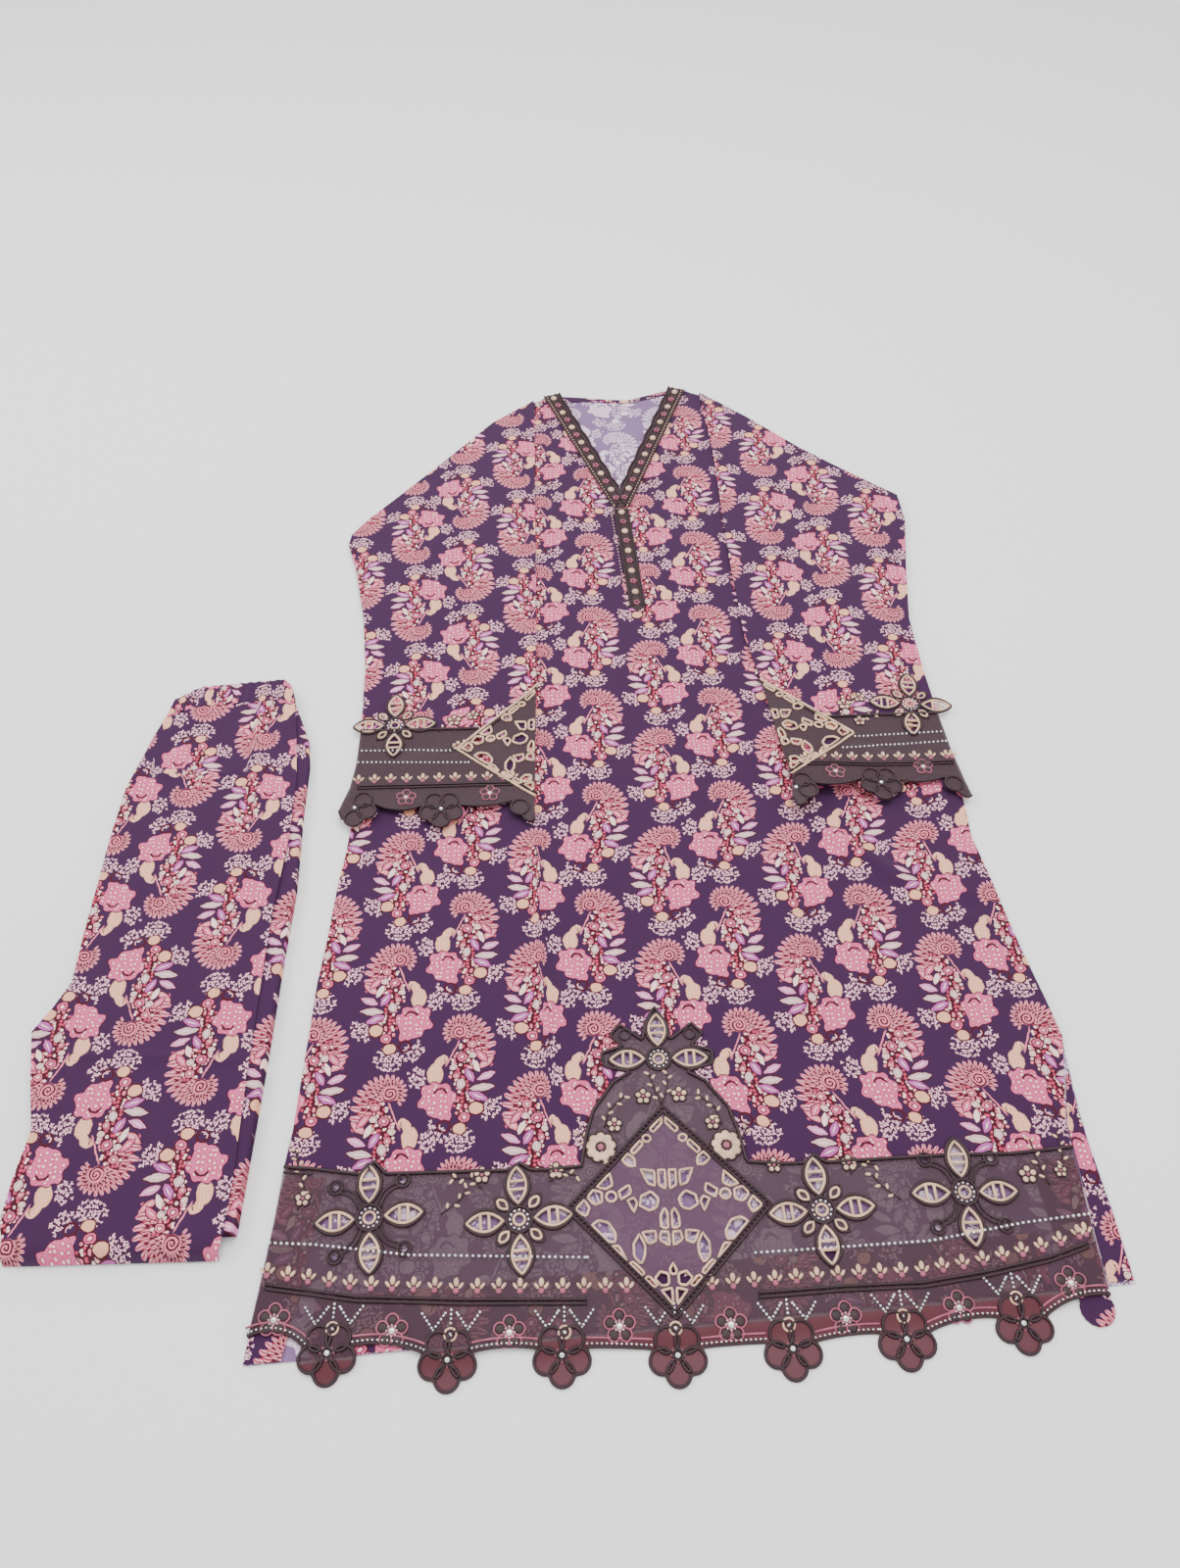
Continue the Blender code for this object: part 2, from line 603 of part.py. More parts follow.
def build_sleeve(side, parts):
    # one sleeve, folded down and lying on the body: print, border, half diamond, hidden half
    hollow = side == "right"
    flip = -1.0 if hollow else 1.0
    tip, corner, foot = parts["half_diamond"]
    outer_seam = parts["outer"][-1]
    inner_share = (parts["seam_y"] - corner[1]) / (tip[1] - corner[1])
    seam_end = (corner[0] + inner_share * (tip[0] - corner[0]) - flip * 3.0 * GAP, parts["seam_y"])
    cuts = [(0.0, y, 0.0) for y in SLEEVE_CUTS_Y]
    cuts += [(-flip * x, 0.0, 90.0) for x in SLEEVE_CUTS_X]

    inner = parts["inner"][:-1]
    print_piece = [*parts["fold"], *parts["outer"], seam_end, (tip[0], tip[1] + 3.0 * GAP),
                   *inner]
    upper = sleeve_height(3.0 * LAYER, 1.3, hollow)
    lower = sleeve_height(2.0 * LAYER, 1.0, hollow)
    sheet(f"sleeve_{side}_print", print_piece, upper, PRINT_PURPLE, cuts=cuts)

    if hollow:
        start, end = parts["hem_end"], parts["cuff"][-1]
    else:
        start, end = parts["cuff"][-1], parts["hem_end"]
    edge = scalloped_edge(parts["flowers"], parts["scallops"], start, end)
    if hollow:
        edge.reverse()
    outer_end = (outer_seam[0], outer_seam[1] - GAP)
    inner_end = (seam_end[0], seam_end[1] - GAP)
    border = [outer_end, *parts["cuff"][:-1], *edge, (foot[0], foot[1] - 3.0 * GAP),
              (corner[0] - flip * 3.0 * GAP, corner[1]), inner_end]
    x, y, first = parts["cut_flower"]
    windows = flower_windows(x, y, first, False)
    inside = [w for w in windows if max(p[1] for p in w) < min(outer_seam[1], seam_end[1]) - 1.0]
    inside = [w for w in inside if all(abs(p[0]) < abs(outer_end[0]) - 2.0 for p in w)]
    sheet(f"sleeve_{side}_border", border, upper, ORGANZA_WINE, inside, cuts)

    centre = ((tip[0] + foot[0]) / 2.0, (tip[1] + foot[1]) / 2.0)
    holes = diamond_windows(centre, corner, tip)
    sheet(f"sleeve_{side}_diamond", [tip, corner, foot], upper, CUTWORK_LILAC, holes, cuts)

    under = [*moved_out(parts["fold"], flip * HIDDEN_INSET),
             *[(px + flip * HIDDEN_INSET, py) for px, py in (*parts["outer"], *parts["cuff"][:-1])],
             *[(px + flip, py + HIDDEN_INSET) for px, py in edge],
             (foot[0] - flip, foot[1]), *[(px - flip, py) for px, py in inner]]
    sheet(f"sleeve_{side}_under", under, lower, PRINT_PURPLE, cuts=cuts)


def trim_outline(start, end, inward, beads, middle):
    # strip along the V with a scalloped inner edge, ended on the middle line
    run = Vector(end) - Vector(start)
    length = run.length
    along = run / length
    side = Vector((-along.y, along.x)) * inward
    inner = []
    steps = beads * 6
    for i in range(steps + 1):
        share = i / steps
        bulge = TRIM_SCALLOP * abs(math.cos(math.pi * beads * share))
        point = Vector(start) + along * length * share + side * (TRIM_IN + bulge)
        if (point.x - middle) * inward < -1.0:
            inner.append(tuple(point))
    outer_top = Vector(start) - side * TRIM_OUT
    outer_foot = Vector(end) - side * TRIM_OUT * 0.9
    foot_y = inner[-1][1] - 3.0
    return [*inner, (middle, foot_y), (middle, outer_foot.y - 2.0), tuple(outer_foot),
            tuple(outer_top)]


def dome_mesh():
    # upper half of a flattened ball, with a foot that reaches into the trim
    bm = bmesh.new()
    bmesh.ops.create_uvsphere(bm, u_segments=10, v_segments=6, radius=BEAD_RADIUS * MM)
    geometry = bm.verts[:] + bm.edges[:] + bm.faces[:]
    bmesh.ops.bisect_plane(bm, geom=geometry, dist=1e-7, plane_co=(0.0, 0.0, 0.0),
                           plane_no=(0.0, 0.0, 1.0), clear_inner=True)
    for vert in bm.verts:
        vert.co.z *= BEAD_RISE / BEAD_RADIUS
    rim = [edge for edge in bm.edges if edge.is_boundary]
    foot = bmesh.ops.extrude_edge_only(bm, edges=rim)["geom"]
    for vert in foot:
        if isinstance(vert, bmesh.types.BMVert):
            vert.co.z -= 0.5 * WALL * MM
    bmesh.ops.holes_fill(bm, edges=[edge for edge in bm.edges if edge.is_boundary])
    bmesh.ops.recalc_face_normals(bm, faces=bm.faces)
    mesh = bpy.data.meshes.new("bead")
    bm.to_mesh(mesh)
    bm.free()
    return mesh


def add_beads(piece, spots, top):
    # round beads joined to the trim
    mesh = dome_mesh()
    for x, y in spots:
        bead = bpy.data.objects.new("bead", mesh)
        bead.location = ((x - CENTRE[0]) * MM, (y - CENTRE[1]) * MM, top * MM)
        cutters.objects.link(bead)
        bead.hide_render = True
        bead.display_type = "WIRE"
        join = piece.modifiers.new("bead", "BOOLEAN")
        join.operation = "UNION"
        join.object = bead


def build_trims():
    level = 2.0 * LAYER
    for side, (start, end), inward, middle in (
            ("left", TRIM_LEFT, 1.0, -0.5), ("right", TRIM_RIGHT, -1.0, -0.1)):
        outline = trim_outline(start, end, inward, BEADS_ON_V, middle)
        piece = sheet(f"neck_trim_{side}", outline, lambda x, y: level, TRIM_DARK)
        spots = [Vector(start).lerp(Vector(end), (i + 0.45) / (BEADS_ON_V + 0.6))
                 for i in range(BEADS_ON_V)]
        add_beads(piece, [tuple(s) for s in spots], level + WALL)
    (x0, y0), (x1, y1) = PLACKET
    outline = [(x0 - PLACKET_HALF, y0), (x1 - PLACKET_HALF, y1 + 4), (x1, y1 - 2),
               (x1 + PLACKET_HALF, y1 + 4), (x0 + PLACKET_HALF, y0)]
    piece = sheet("placket_trim", outline, lambda x, y: level, TRIM_DARK)
    spots = [Vector(PLACKET[0]).lerp(Vector(PLACKET[1]), (i + 0.4) / BEADS_ON_PLACKET)
             for i in range(BEADS_ON_PLACKET)]
    add_beads(piece, [tuple(s) for s in spots], level + WALL)


# Trousers

def build_stack():
    # hidden layers as one solid, with the layers' edges showing round its side
    outline = [*LEG_OUTLINE_LEFT, (-450, 574), (-427, 588), (-347, 596), (-341, 591),
               *LEG_OUTLINE_RIGHT]
    loop = list(reversed(outline))
    loop = inset_loop(loop, 0.3)
    bm = bmesh.new()
    rings = []
    for share, inset in STACK_EDGE:
        ring = [bm.verts.new(((x - CENTRE[0]) * MM, (y - CENTRE[1]) * MM,
                              share * stack_height(y) * MM))
                for x, y in inset_loop(loop, inset)]
        rings.append(ring)
    edge_rings = []
    for ring in rings:
        edge_rings.append([bm.edges.new((ring[i - 1], ring[i])) for i in range(len(ring))])
    for below, above in zip(edge_rings, edge_rings[1:]):
        bmesh.ops.bridge_loops(bm, edges=below + above)
    for ring in (edge_rings[0], edge_rings[-1]):
        bmesh.ops.triangle_fill(bm, edges=ring, use_beauty=True)
    bmesh.ops.recalc_face_normals(bm, faces=bm.faces)
    mesh = bpy.data.meshes.new("trousers_folded_legs")
    bm.to_mesh(mesh)
    bm.free()
    piece = bpy.data.objects.new("trousers_folded_legs", mesh)
    collection.objects.link(piece)
    paint(piece, PRINT_PURPLE)


def build_trousers():
    build_stack()
    band_lower = [(x, y - GAP) for x, y in reversed(BAND_LOWER)]
    leg = [*reversed(LEG_OUTLINE_LEFT[:-1]), (-475, LEG_BOTTOM), (-322, LEG_BOTTOM),
           *reversed(TOP_LAYER_RIGHT), *band_lower]
    cuts = [(0.0, y, 0.0) for y in CURL_CUTS]
    cuts += [(TUCK[0], TUCK[1] + d, -1.4) for d in (-TUCK[4], 0.0, TUCK[4])]
    cuts += [(-400.0, 0.0, 90.0), (-440.0, 0.0, 90.0), (-360.0, 0.0, 90.0)]
    sheet("trousers_leg", leg, leg_height, PRINT_PURPLE, cuts=cuts)
    pitch = (BAND_LOWER[-1][0] - BAND_LOWER[0][0]) / GATHERS
    ridges = [(BAND_LOWER[0][0] + pitch * (i + 0.5) / 2.0, 0.0, 90.0) for i in range(2 * GATHERS)]
    sheet("trousers_waistband", [*BAND_LOWER, *BAND_UPPER], band_height, PRINT_PURPLE, cuts=ridges)


for old in list(bpy.data.objects):
    bpy.data.objects.remove(old)
collection = bpy.data.collections.new("kurta_set")
cutters = bpy.data.collections.new("cutters")
for new in (collection, cutters):
    bpy.context.scene.collection.children.link(new)

build_back()
build_front()
build_slit_facings()
build_border()
for name, parts in (("left", SLEEVE_LEFT), ("right", SLEEVE_RIGHT)):
    build_sleeve(name, parts)
build_trims()
build_trousers()
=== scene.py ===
# Kurta set laid flat, dressed for the photo: fine cloth, print, organza, embroidery and beads.
# Tables are in millimetres in the kurta's own frame, with the lower tip of its diamond as (0, 0).

import math

import bmesh
import bpy
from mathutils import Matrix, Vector, noise


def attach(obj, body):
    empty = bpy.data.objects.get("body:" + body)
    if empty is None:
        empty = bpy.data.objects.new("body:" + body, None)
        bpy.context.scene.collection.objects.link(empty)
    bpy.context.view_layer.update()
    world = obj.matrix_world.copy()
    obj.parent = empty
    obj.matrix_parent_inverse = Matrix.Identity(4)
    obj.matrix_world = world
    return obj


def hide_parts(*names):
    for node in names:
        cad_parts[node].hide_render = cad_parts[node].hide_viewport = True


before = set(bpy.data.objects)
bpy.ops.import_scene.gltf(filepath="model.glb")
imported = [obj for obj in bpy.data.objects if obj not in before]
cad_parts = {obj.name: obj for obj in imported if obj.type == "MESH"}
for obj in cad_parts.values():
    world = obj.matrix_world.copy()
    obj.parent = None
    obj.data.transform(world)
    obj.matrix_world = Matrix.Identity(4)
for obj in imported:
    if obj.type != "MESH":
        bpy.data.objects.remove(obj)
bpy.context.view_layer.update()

mm = 0.001
centre = (-84.5, 525.0)
layer = 1.3
clothTop = 1.0
clothThickness = 0.45


def smooth(share):
    share = min(max(share, 0.0), 1.0)
    return share * share * (3.0 - 2.0 * share)


def place(x, y, z):
    return Vector(((x - centre[0]) * mm, (y - centre[1]) * mm, z * mm))


# Shape of the laid cloth

hemLeft = (-295.0, -23.0)
hemRight = (328.0, 14.0)

# Folds and creases of the front: start, end, half width, height, fade of each end
frontFolds = (
    (-97, 430, -86, 170, 8, 5.0, 45),
    (100, 660, 99, 440, 13, 3.0, 60),
    (110, 425, 121, 190, 26, 4.5, 70),
    (144, 430, 245, 336, 13, 5.0, 40),
)
softCreases = (
    (-96, 640, -97, 420, 10, 1.6, 60),
    (116, 1060, 117, 640, 12, 1.5, 80),
    (-30, 640, -44, 300, 30, 1.3, 110),
    (40, 560, 52, 250, 26, 1.4, 110),
    (-190, 420, -226, 180, 24, 1.6, 80),
    (-150, 430, -150, 220, 18, 1.3, 80),
    (205, 330, 262, 180, 22, 1.7, 60),
    (168, 300, 186, 140, 20, 1.4, 70),
    (-262, 360, -205, 338, 9, 1.2, 24),
    (262, 345, 306, 330, 7, 1.8, 18),
    (254, 322, 304, 306, 6, 1.6, 18),
    (0, 700, 8, 560, 20, 1.2, 60),
    (-70, 860, -60, 700, 16, 1.2, 60),
    (60, 880, 66, 720, 15, 1.2, 60),
    (-20, 250, -30, 110, 18, 1.0, 50),
    (60, 240, 52, 100, 16, 1.0, 50),
)
sleeveCreases = (
    (-150, 980, -160, 640, 26, 1.5, 90),
    (-215, 880, -206, 600, 22, 1.6, 90),
    (-260, 800, -245, 640, 16, 1.2, 60),
    (-240, 760, -150, 700, 14, 1.0, 40),
    (170, 960, 176, 640, 24, 1.5, 90),
    (232, 880, 226, 640, 22, 1.6, 80),
    (276, 800, 262, 640, 16, 1.3, 60),
    (250, 740, 190, 690, 12, 1.2, 34),
    (-250, 500, -180, 520, 10, 0.8, 30),
    (180, 520, 250, 500, 10, 0.9, 30),
)
trouserCreases = (
    (-452, 484, -369, 482, 7, 2.0, 12),
    (-450, 484, -421, 525, 8, 1.6, 14),
    (-371, 482, -406, 518, 8, 1.6, 14),
    (-480, 203, -322, 196, 6, 1.8, 14),
    (-400, 470, -404, 120, 26, 1.4, 90),
    (-355, 460, -352, 110, 16, 1.2, 90),
    (-446, 400, -452, 230, 14, 1.1, 60),
)


def foldHeight(x, y, fold):
    x0, y0, x1, y1, halfWidth, height, fade = fold
    dx, dy = x1 - x0, y1 - y0
    length = math.hypot(dx, dy)
    dx, dy = dx / length, dy / length
    run = (x - x0) * dx + (y - y0) * dy
    aside = abs((x - x0) * dy - (y - y0) * dx)
    if aside >= halfWidth or run <= 0.0 or run >= length:
        return 0.0
    ends = smooth(run / fade) * smooth((length - run) / fade)
    return height * ends * (1.0 - (aside / halfWidth) ** 2) ** 2


def ripple(x, y, creases, seed):
    # unevenness of laid cloth, never below zero
    broad = noise.noise(Vector((x / 95.0, y / 150.0, seed)))
    fine = noise.noise(Vector((x / 28.0, y / 46.0, seed + 7.0)))
    rise = 0.9 * max(broad + 0.25, 0.0) + 0.35 * max(fine + 0.2, 0.0)
    return rise + sum(foldHeight(x, y, crease) for crease in creases)


def hemY(x):
    slope = (hemRight[1] - hemLeft[1]) / (hemRight[0] - hemLeft[0])
    return hemLeft[1] + slope * (x - hemLeft[0])


def hemShare(x, y):
    return min(max((y - hemY(x) + 14.0) / 12.0, 0.0), 1.0)


def laid(x, y):
    # unevenness that the front, the border and the sleeves over them share
    return ripple(x, y, softCreases, 3.0) * smooth((y - hemY(x)) / 30.0)


def backTop(x, y):
    return clothTop


def overBackTop(x, y):
    return clothTop + layer * hemShare(x, y)


def borderTop(x, y):
    overTab = min(max((x - 264.0) / 9.0, 0.0), 1.0)
    return clothTop + 2.0 * layer * max(hemShare(x, y), overTab) + laid(x, y)


def frontTop(x, y):
    rise = min(max((280.0 - y) / 40.0, 0.0), 1.0)
    folds = sum(foldHeight(x, y, fold) for fold in frontFolds)
    return clothTop + layer * (1.0 + rise) + folds + laid(x, y)


def sleeveTop(right, level, share):
    def top(x, y):
        lift = 2.5 * smooth((500.0 - y) / 60.0)
        if right:
            lift += 6.0 * smooth(1.0 - math.hypot(x - 165.0, y - 440.0) / 90.0)
        own = ripple(x, y, sleeveCreases, 11.0) * smooth((y - 440.0) / 40.0)
        return clothTop + level + share * lift + laid(x, y) + 0.8 * share * own
    return top


def stackHeight(y):
    return 8.0 + 0.008 * (577.0 - y)


def legTop(x, y):
    top = stackHeight(y) + 0.3
    if y < 60.0:
        share = (60.0 - y) / 14.0
        return clothTop + 1.0 + (top - 1.0) * math.sqrt(max(1.0 - share * share, 0.0))
    own = ripple(x, y, trouserCreases, 23.0) * smooth((y - 60.0) / 30.0)
    gather = 1.2 * smooth((y - 500.0) / 60.0)
    pleats = gather * (0.5 + 0.5 * math.sin(x * 0.62 + 1.4 * noise.noise(Vector((x / 20, y / 60, 5)))))
    return clothTop + top + own + pleats


def bandTop(x, y):
    share = (x + 455.0) / 124.0
    puckers = 1.3 * math.sin(math.pi * 14.0 * share) ** 2
    fine = 0.5 * noise.noise(Vector((x / 6.0, y / 16.0, 41.0)))
    return clothTop + stackHeight(y) + 0.3 + puckers + max(fine, -0.3) + 0.3


# Outlines, as in the solid part

bodySides = (
    (820, -300, 316), (766, -288, 303), (691, -273, 290), (620, -265, 289), (555, -262, 291),
    (494, -262, 296), (440, -264, 299), (399, -266, 297), (361, -270, 303), (312, -273, 309),
    (266, -277, 316), (222, -278, 323), (201, -279, 326), (140, -281, 323), (103, -284, 324),
    (67, -287, 326), (34, -290, 327),
)
slitRight = ((326, 201), (309, 130), (309, 112))
foldLeft = ((-100, 1068), (-149, 1025), (-219, 933), (-286, 847), (-302, 822))
foldRight = ((107, 1080), (159, 1029), (214, 968), (267, 920), (317, 874))
neckBack = ((90, 1091), (79, 1095), (16, 1070), (-12, 1073), (-40, 1077), (-84, 1083))
neckV = ((-76, 1080), (-1, 884), (76, 1092))
seamPeak = (
    (86, 105), (62, 107), (58, 130), (52, 150), (36, 172), (22, 180), (43, 186),
    (44, 197), (27, 202), (37, 212), (29, 221), (11, 207), (8, 222), (0, 236),
)
hemFlowers = ((-238, -17), (-156, -23), (-78, -22), (1, -24), (80, -22), (159, -18), (242, -10))
hemScallops = ((-198, -13), (-119, -17), (-39, -19), (40, -19), (119, -15), (202, -7))
cutFlowers = ((-217, 73, 95, True), (-108, 69, 94, False), (113, 70, 93, False), (220, 80, 90, True))
peakFlower = (1, 191)
petalLength, petalWidth, petalStart, petalCord = 27.0, 14.0, 11.5, 2.0
diamond = (1.5, 75.5)
diamondHalf = (74.0, 75.5)
diamondWindows = {
    "tipSlot": ((1.5, 69.5), (1.5, 65.0), (8.5, 57.5), (11.5, 60.0)),
    "tipRound": ((17.2, 54.0), (14.5, 56.0), (11.3, 54.5), (11.0, 51.0), (14.0, 49.5), (16.8, 51.0)),
    "upperSlot": ((19.5, 51.0), (16.8, 48.5), (24.5, 40.5), (27.3, 43.0)),
    "upperKite": ((29.5, 41.0), (24.5, 37.5), (24.0, 31.0), (29.5, 31.5), (34.0, 36.0)),
    "trefoilFoot": ((20.0, 28.5), (9.5, 27.0), (9.8, 15.5), (15.0, 17.5)),
    "axisUpper": ((6.6, 27.5), (1.6, 27.5), (1.6, 13.0), (6.6, 16.0)),
    "sideTri": ((44.0, 26.0), (42.0, 17.0), (47.5, 14.0), (54.0, 16.0)),
    "circleFan": ((57.0, 13.5), (50.5, 12.0), (50.3, 4.5), (56.5, 2.5), (61.5, 8.5)),
    "corner": ((64.0, 6.3), (60.0, 0.5), (62.5, -6.0), (66.5, -4.0), (70.5, -0.5)),
    "tilted": ((37.3, 12.0), (29.5, 17.0), (28.0, 10.5), (36.0, 6.0)),
    "smallKite": ((31.0, 5.0), (26.5, 7.0), (23.8, 3.5), (26.5, -4.0)),
    "crossKite": ((20.5, 8.0), (13.0, 11.5), (7.5, 5.5), (9.5, -1.0), (15.0, -3.0), (22.0, 1.0)),
    "axisLadder": ((4.0, -1.5), (1.6, -4.0), (1.6, -16.5), (7.0, -15.5), (6.8, -7.0)),
    "axisLower": ((7.0, -18.5), (1.6, -19.0), (1.6, -29.0), (8.8, -24.5)),
    "fanInner": ((21.0, -18.8), (11.5, -17.8), (11.0, -25.0), (17.0, -27.5)),
    "fanOuter": ((23.5, -20.0), (19.5, -28.0), (20.0, -35.0), (23.0, -41.5), (28.0, -36.0), (28.0, -27.0)),
    "oval": ((58.5, -12.5), (53.5, -9.0), (46.0, -11.0), (41.0, -19.0), (41.5, -25.0), (46.0, -25.5)),
    "belowOval": ((44.5, -28.0), (39.0, -28.0), (33.5, -38.7)),
    "lowerSlot": ((31.5, -40.6), (29.0, -39.5), (20.8, -47.5), (23.0, -49.5)),
    "footSlot": ((20.8, -51.8), (18.2, -49.6), (12.0, -56.2), (14.6, -58.0)),
    "footKite": ((9.5, -47.0), (3.6, -48.5), (3.6, -56.0), (9.0, -57.0), (14.0, -52.0)),
    "footTri": ((9.3, -60.0), (1.6, -58.5), (1.6, -70.0)),
}
diamondTear = ((0.0, -40.0), (-2.5, -44.5), (-1.8, -47.5), (1.8, -47.5), (2.5, -44.5))
diamondFit = 0.97
sleeveLeft = {
    "outer": ((-304, 806), (-292, 766), (-277, 691), (-269, 620), (-266, 555), (-265.5, 534)),
    "cuff": ((-266, 494), (-269, 465), (-277, 437)),
    "inner": ((-96, 592), (-98, 730), (-99, 894), (-100, 1068)),
    "fold": foldLeft,
    "seamY": 534,
    "halfDiamond": ((-96.5, 590), (-173, 510), (-97.5, 449)),
    "hemEnd": (-97.5, 424),
    "flowers": ((-262, 441), (-183, 438), (-100, 442)),
    "scallops": ((-223, 437), (-140, 440)),
    "cutFlower": (-233, 541, 92),
}
sleeveRight = {
    "outer": ((318, 831), (304, 750), (293, 676), (293, 606), (296, 545)),
    "cuff": ((299, 500), (303, 460), (306, 440)),
    "inner": ((128, 595), (118, 652), (114, 763), (113, 946), (107, 1075)),
    "fold": foldRight,
    "seamY": 543,
    "halfDiamond": ((128, 594), (211, 521), (142, 466)),
    "hemEnd": (138, 438),
    "flowers": ((143, 449), (224, 457), (303, 459)),
    "scallops": ((184, 452), (264, 458)),
    "cutFlower": (271, 556, 84),
}
legOutlineLeft = (
    (-476, 62), (-481, 74), (-480, 105), (-476, 142), (-487, 182), (-497, 223), (-485, 245),
    (-476, 267), (-477, 313), (-477, 414), (-475, 469), (-462, 528), (-455, 556),
)
legOutlineRight = (
    (-331, 570), (-325, 555), (-313, 524), (-309, 494), (-308, 436), (-304, 357), (-306, 285),
    (-307, 198), (-309, 119), (-311, 62),
)
topLayerRight = (
    (-332, 568), (-326, 530), (-319, 476), (-317, 408), (-321, 329), (-321, 250), (-320, 165),
    (-318, 97), (-319, 62),
)
bandLower = ((-455, 556), (-427, 567), (-345, 575), (-331, 570))
bandUpper = ((-339, 594), (-347, 601), (-427, 593), (-450, 577))


def arc(start, top, end, steps):
    # points of a circular arc through three points, without its two ends
    (ax, ay), (bx, by), (cx, cy) = start, top, end
    d = 2.0 * (ax * (by - cy) + bx * (cy - ay) + cx * (ay - by))
    a2, b2, c2 = ax * ax + ay * ay, bx * bx + by * by, cx * cx + cy * cy
    ux = (a2 * (by - cy) + b2 * (cy - ay) + c2 * (ay - by)) / d
    uy = (a2 * (cx - bx) + b2 * (ax - cx) + c2 * (bx - ax)) / d
    radius = math.hypot(ax - ux, ay - uy)
    first = math.atan2(ay - uy, ax - ux)
    last = math.atan2(cy - uy, cx - ux)
    turn = (last - first) % math.tau
    middle = (math.atan2(by - uy, bx - ux) - first) % math.tau
    if middle > turn:
        turn -= math.tau
    angles = [first + turn * (i + 1) / (steps + 1) for i in range(steps)]
    return [(ux + radius * math.cos(a), uy + radius * math.sin(a)) for a in angles]


def flowerEdge(spot, steps=40):
    points = []
    for i in range(steps + 1):
        angle = math.radians(-192.0 + 204.0 * i / steps)
        nearest = round((angle + math.pi / 2) / (math.tau / 5)) * math.tau / 5 - math.pi / 2
        off = angle - nearest
        root = max(9.5 ** 2 - (11.5 * math.sin(off)) ** 2, 0.0)
        reach = 11.5 * math.cos(off) + math.sqrt(root)
        points.append((spot[0] + reach * math.cos(angle), spot[1] + reach * math.sin(angle)))
    return points


def scallopedEdge(flowers, scallops, start, end, arcs=None):
    # hem from left to right; arcs collects the scallop arcs
    edges = [[p for p in flowerEdge(f) if start[0] + 2 < p[0] < end[0] - 2] for f in flowers]
    points = [start]
    for i, edge in enumerate(edges):
        points += edge
        if i < len(scallops):
            bow = arc(edge[-1], scallops[i], edges[i + 1][0], 9)
            points += bow
            if arcs is not None:
                arcs.append([edge[-1], *bow, edges[i + 1][0]])
    return points + [end]


def movedOut(line, distance):
    points = [Vector(p) for p in line]
    result = []
    for i, point in enumerate(points):
        along = (points[min(i + 1, len(points) - 1)] - points[max(i - 1, 0)]).normalized()
        result.append((point.x - along.y * distance, point.y + along.x * distance))
    return result


def turned(x, y, angle, spot):
    c, s = math.cos(angle), math.sin(angle)
    return (spot[0] + x * c - y * s, spot[1] + x * s + y * c)


def petalWindows(spot, angle):
    half = petalLength / 2.0
    middle = petalStart + half

    def halfWidth(t):
        return petalWidth / 2.0 * (1.0 - t * t) - petalCord

    outlines = []
    for near, far in ((0.74, 0.30), (-0.74, -0.30)):
        wide, slim = halfWidth(far), halfWidth((near + far) / 2.0)
        outlines.append([(near, 0.4), ((near + far) / 2, slim), (far, wide),
                         (far, -wide), ((near + far) / 2, -slim), (near, -0.4)])
    side = halfWidth(0.16)
    outlines.append([(0.16, side), (0.0, halfWidth(0.0)), (-0.16, side),
                     (-0.16, -side), (0.0, -halfWidth(0.0)), (0.16, -side)])
    return [[turned(middle + t * half, w, angle, spot) for t, w in outline] for outline in outlines]


def roundWindow(x, y, radius, corners=12):
    return [turned(radius, 0.0, math.tau * i / corners, (x, y)) for i in range(corners)]


def flowerWindows(x, y, first, arms, petals=(0, 1, 2, 3)):
    windows = [roundWindow(x, y, 3.2)]
    for i in petals:
        windows += petalWindows((x, y), math.radians(first + 90.0 * i))
    if arms:
        for i in range(4):
            spot = turned(35.0, 0.0, math.radians(first + 45.0 + 90.0 * i), (x, y))
            windows.append(roundWindow(*spot, 2.4, 8))
    return windows


def diamondShapes(spot, corner, tip):
    middle = Vector(spot)
    across = (Vector(corner) - middle) * diamondFit / diamondHalf[0]
    up = (Vector(tip) - middle) * diamondFit / diamondHalf[1]
    shapes = [*diamondWindows.values(), roundWindow(43.3, 8.3, 4.0)]
    return [[tuple(middle + across * u + up * v) for u, v in shape] for shape in shapes]


def bodyLine(side, low):
    return [(row[side], row[0]) for row in bodySides if row[0] >= low]


def seamLine():
    tabs = []
    for x, y, first, arms in cutFlowers:
        tip = y + petalStart + petalLength + 3.0
        level = max(105.0, y + 28.0)
        tabs.append([(x - 9.0, level), (x - 6.3, max(tip - 6.0, level + 1.0)), (x, tip),
                     (x + 6.3, max(tip - 6.0, level + 1.0)), (x + 9.0, level)])
    leftPeak = [(-x, y) for x, y in seamPeak]
    rightPeak = list(reversed(seamPeak))[1:]
    return [(-284, 112), (-262, 110), *tabs[0], *tabs[1], *leftPeak, *rightPeak, *tabs[2], *tabs[3],
            (262, 108), (309, 112)]


# Sheets of cloth

def filledMesh(name, outline, holes):
    curve = bpy.data.curves.new(name, "CURVE")
    curve.dimensions = "2D"
    curve.fill_mode = "BOTH"
    for loop in (outline, *holes):
        spline = curve.splines.new("POLY")
        spline.points.add(len(loop) - 1)
        for point, (x, y) in zip(spline.points, loop):
            point.co = (x * mm, y * mm, 0.0, 1.0)
        spline.use_cyclic_u = True
    helper = bpy.data.objects.new(name + "Outline", curve)
    bpy.context.scene.collection.objects.link(helper)
    evaluated = helper.evaluated_get(bpy.context.evaluated_depsgraph_get())
    mesh = bpy.data.meshes.new_from_object(evaluated)
    bpy.data.objects.remove(helper)
    return mesh


def flatArea(loop):
    return abs(sum(x0 * y1 - x1 * y0 for (x0, y0), (x1, y1) in zip(loop, [*loop[1:], loop[0]]))) / 2


